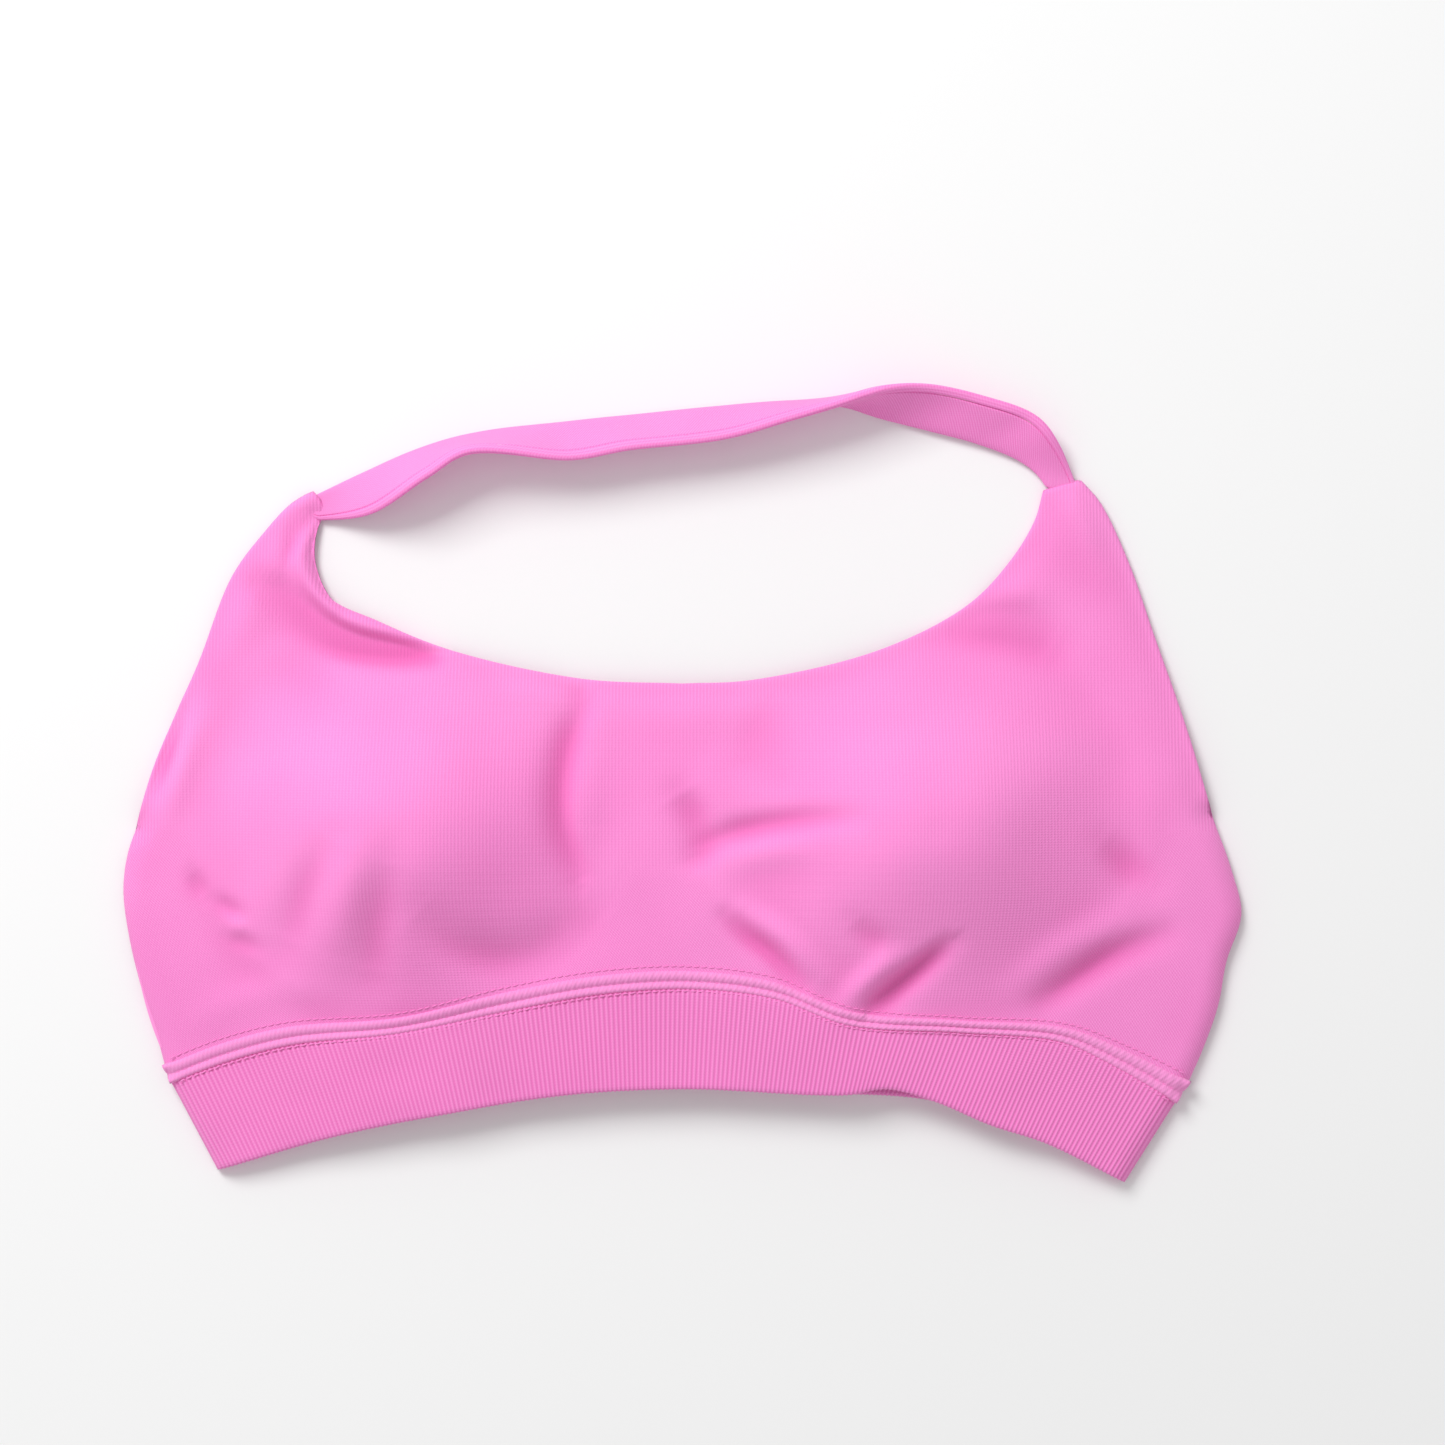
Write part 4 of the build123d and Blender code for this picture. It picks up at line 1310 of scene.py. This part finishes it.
class GARMENT_OT_pads(bpy.types.Operator):
    """Makes the two moulded pads between the front cloth and its lining"""
    bl_idname = "garment.pads"
    bl_label = "Moulded pads"

    def execute(self, context):
        settings = context.scene.garment
        foam = plain_material("pad foam", settings.foam, 0.82, 1.4 * MM, 0.12 * MM, 0.1)
        for side in ("left", "right"):
            pad = build_pad(f"{side}_pad_foam", f"{side}_pad", foam)
            dress(pad, "garment", [f"{side}_pad"])
        return {"FINISHED"}


class GARMENT_OT_back(bpy.types.Operator):
    """Lays the back cloth flat on the table"""
    bl_idname = "garment.back"
    bl_label = "Back cloth"

    def execute(self, context):
        settings = context.scene.garment
        knit = knit_material("pink back knit", settings.yarn, settings.sheen)
        obj = build_back_cloth(knit)
        dress(obj, "garment", ["back_panel"])
        return {"FINISHED"}


class GARMENT_OT_band(bpy.types.Operator):
    """Makes the ribbed underband, front and back, each with its inner facing"""
    bl_idname = "garment.band"
    bl_label = "Ribbed underband"

    def execute(self, context):
        settings = context.scene.garment
        rib = rib_material("pink rib knit", settings.rib)
        tree = rib_tree()
        front = build_band("front_band", HEM_FRONT, True, rib, tree)
        dress(front, "garment", ["front_band_rib", "front_band_facing"])
        back = build_band("back_band", HEM_BACK, False, rib, tree)
        dress(back, "garment", ["back_band_rib", "back_band_facing"])
        return {"FINISHED"}


class GARMENT_OT_seam(bpy.types.Operator):
    """Makes the covered seam between body and underband, with its rows of stitches"""
    bl_idname = "garment.seam"
    bl_label = "Band seam"

    def execute(self, context):
        settings = context.scene.garment
        cover = seam_material("seam thread", settings.thread)
        thread = plain_material("stitch thread", settings.thread, 0.7, 0.5 * MM, 0.05 * MM, 0.1)
        front = build_seam("front_seam", True, cover)
        dress(front, "garment", ["front_band_seam"])
        back = build_seam("back_seam", False, cover)
        dress(back, "garment", ["back_band_seam"])
        stitches = build_seam_stitches(thread, stitch_tree())
        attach(stitches, "garment")
        return {"FINISHED"}


class GARMENT_OT_strap(bpy.types.Operator):
    """Makes the neck strap, a flat tube that stands on its edge round the neck"""
    bl_idname = "garment.strap"
    bl_label = "Neck strap"

    def execute(self, context):
        settings = context.scene.garment
        knit = knit_material("pink strap knit", settings.yarn, settings.sheen)
        obj, length = build_strap(knit)
        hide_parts("neck_strap_cover")
        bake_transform(obj)
        return {"FINISHED"}


class GARMENT_OT_tapes(bpy.types.Operator):
    """Gives the edge elastics their own shapes and finishes, and the side seams and blank label their
    finishes
    """
    bl_idname = "garment.tapes"
    bl_label = "Tapes and label"

    def execute(self, context):
        settings = context.scene.garment
        tape = plain_material("edge elastic", [0.86, 0.58, 0.72], 0.6, 0.9 * MM, 0.1 * MM)
        thread = seam_material("side seam thread", settings.thread)
        satin = plain_material("blank satin label", [0.92, 0.89, 0.90], 0.35, 0.6 * MM, 0.04 * MM)
        arm_left = shifted(smooth_line(ARM_LEFT[1:-1], 90), -4.5 * MM)
        arm_right = shifted(smooth_line(ARM_RIGHT[1:-1], 90), -4.5 * MM)
        neck = shifted(smooth_line(NECK_LEFT[3:] + NECK_RIGHT[1:-1], 220), -4.5 * MM)
        for name, line in (("left_armhole", arm_left), ("right_armhole", arm_right), ("neckline", neck)):
            piece = ribbon(f"{name}_tape", line, under_front(line), 2.6 * MM, 0.4 * MM, tape)
            dress(piece, "garment", [f"{name}_elastic"])
        back = smooth_line([(x * 0.965, y) for x, y in BACK_TOP], 120)
        piece = ribbon("back_top_tape", shifted(back, -4.0 * MM), np.full(120, 1.95 * MM), 3.6 * MM,
                       0.4 * MM, tape)
        dress(piece, "garment", ["back_top_elastic"])
        for side, hem in (("front", HEM_FRONT), ("back", HEM_BACK)):
            line = (smooth_line(SEAM_BOTTOM, 240) + smooth_line(hem, 240))[8:-8] / 2
            heights = band_middle(line, side == "front")
            piece = ribbon(f"{side}_band_tape", line, heights, 15 * MM, 0.5 * MM, tape)
            dress(piece, "garment", [f"{side}_band_elastic"])
        for name, material in (("neck_strap_elastic", tape), ("left_side_seam", thread),
                               ("right_side_seam", thread), ("care_label", satin)):
            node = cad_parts[name]
            node.data.materials.clear()
            node.data.materials.append(material)
        return {"FINISHED"}


def look_at(obj, target):
    aim = Vector(target) - obj.location
    obj.rotation_euler = aim.to_track_quat("-Z", "Y").to_euler()


def area_light(name, place, target, size, power, colour=(1, 1, 1)):
    data = bpy.data.lights.new(name, "AREA")
    data.shape = "RECTANGLE"
    data.size, data.size_y = size
    data.energy = power
    data.color = colour
    obj = bpy.data.objects.new(name, data)
    bpy.context.scene.collection.objects.link(obj)
    obj.location = place
    look_at(obj, target)
    return obj


class GARMENT_OT_stage(bpy.types.Operator):
    """Sets the table, the soft studio light and the camera straight above"""
    bl_idname = "garment.stage"
    bl_label = "Stage and camera"

    def execute(self, context):
        settings = context.scene.garment_stage
        floor = make_object("floor", [(-3, -3, 0), (3, -3, 0), (3, 3, 0), (-3, 3, 0)], [(0, 1, 2, 3)],
                            floor_material(settings.floor), smooth=False)
        floor.location.z = -0.0002
        world = bpy.data.worlds.new("studio")
        world.use_nodes = True
        world.node_tree.nodes["Background"].inputs["Color"].default_value = (1, 1, 1, 1)
        world.node_tree.nodes["Background"].inputs["Strength"].default_value = settings.sky
        context.scene.world = world
        area_light("key", (-0.75, 1.1, 1.3), (0, 0, 0), (0.8, 0.8), settings.key_power)
        low, high = CAD_BOX
        centre = (Vector(low) + Vector(high)) / 2
        data = bpy.data.cameras.new("camera")
        data.lens = 85
        data.sensor_width = 36
        data.clip_start = 0.01
        camera = bpy.data.objects.new("camera", data)
        context.scene.collection.objects.link(camera)
        camera.location = (centre.x + FRAME_SHIFT[0], centre.y + FRAME_SHIFT[1], settings.camera_height)
        camera.rotation_euler = (0, 0, 0)
        context.scene.camera = camera
        context.scene.view_settings.view_transform = "Standard"
        context.scene.view_settings.look = "None"
        return {"FINISHED"}


class GARMENT_PT_panel(bpy.types.Panel):
    bl_idname = "GARMENT_PT_panel"
    bl_label = "Halter Sports Bra"
    bl_space_type = "VIEW_3D"
    bl_region_type = "UI"
    bl_category = "Garment"

    def draw(self, context):
        for group in (context.scene.garment, context.scene.garment_stage):
            for name in group.__annotations__:
                self.layout.prop(group, name)
        for operator in OPERATORS:
            self.layout.operator(operator.bl_idname)


FRAME_SHIFT = (13.4 * MM, 20.1 * MM)
OPERATORS = (GARMENT_OT_pads, GARMENT_OT_lining, GARMENT_OT_front, GARMENT_OT_back, GARMENT_OT_band,
             GARMENT_OT_seam, GARMENT_OT_strap, GARMENT_OT_tapes, GARMENT_OT_stage)
CLASSES = (GarmentSettings, StageSettings, *OPERATORS, GARMENT_PT_panel)


def register():
    for cls in CLASSES:
        bpy.utils.register_class(cls)
    bpy.types.Scene.garment = bpy.props.PointerProperty(type=GarmentSettings)
    bpy.types.Scene.garment_stage = bpy.props.PointerProperty(type=StageSettings)


def unregister():
    del bpy.types.Scene.garment_stage
    del bpy.types.Scene.garment
    for cls in reversed(CLASSES):
        bpy.utils.unregister_class(cls)


def main():
    register()
    for operator in OPERATORS:
        group, name = operator.bl_idname.split(".")
        getattr(getattr(bpy.ops, group), name)()


if __name__ == "__main__":
    main()
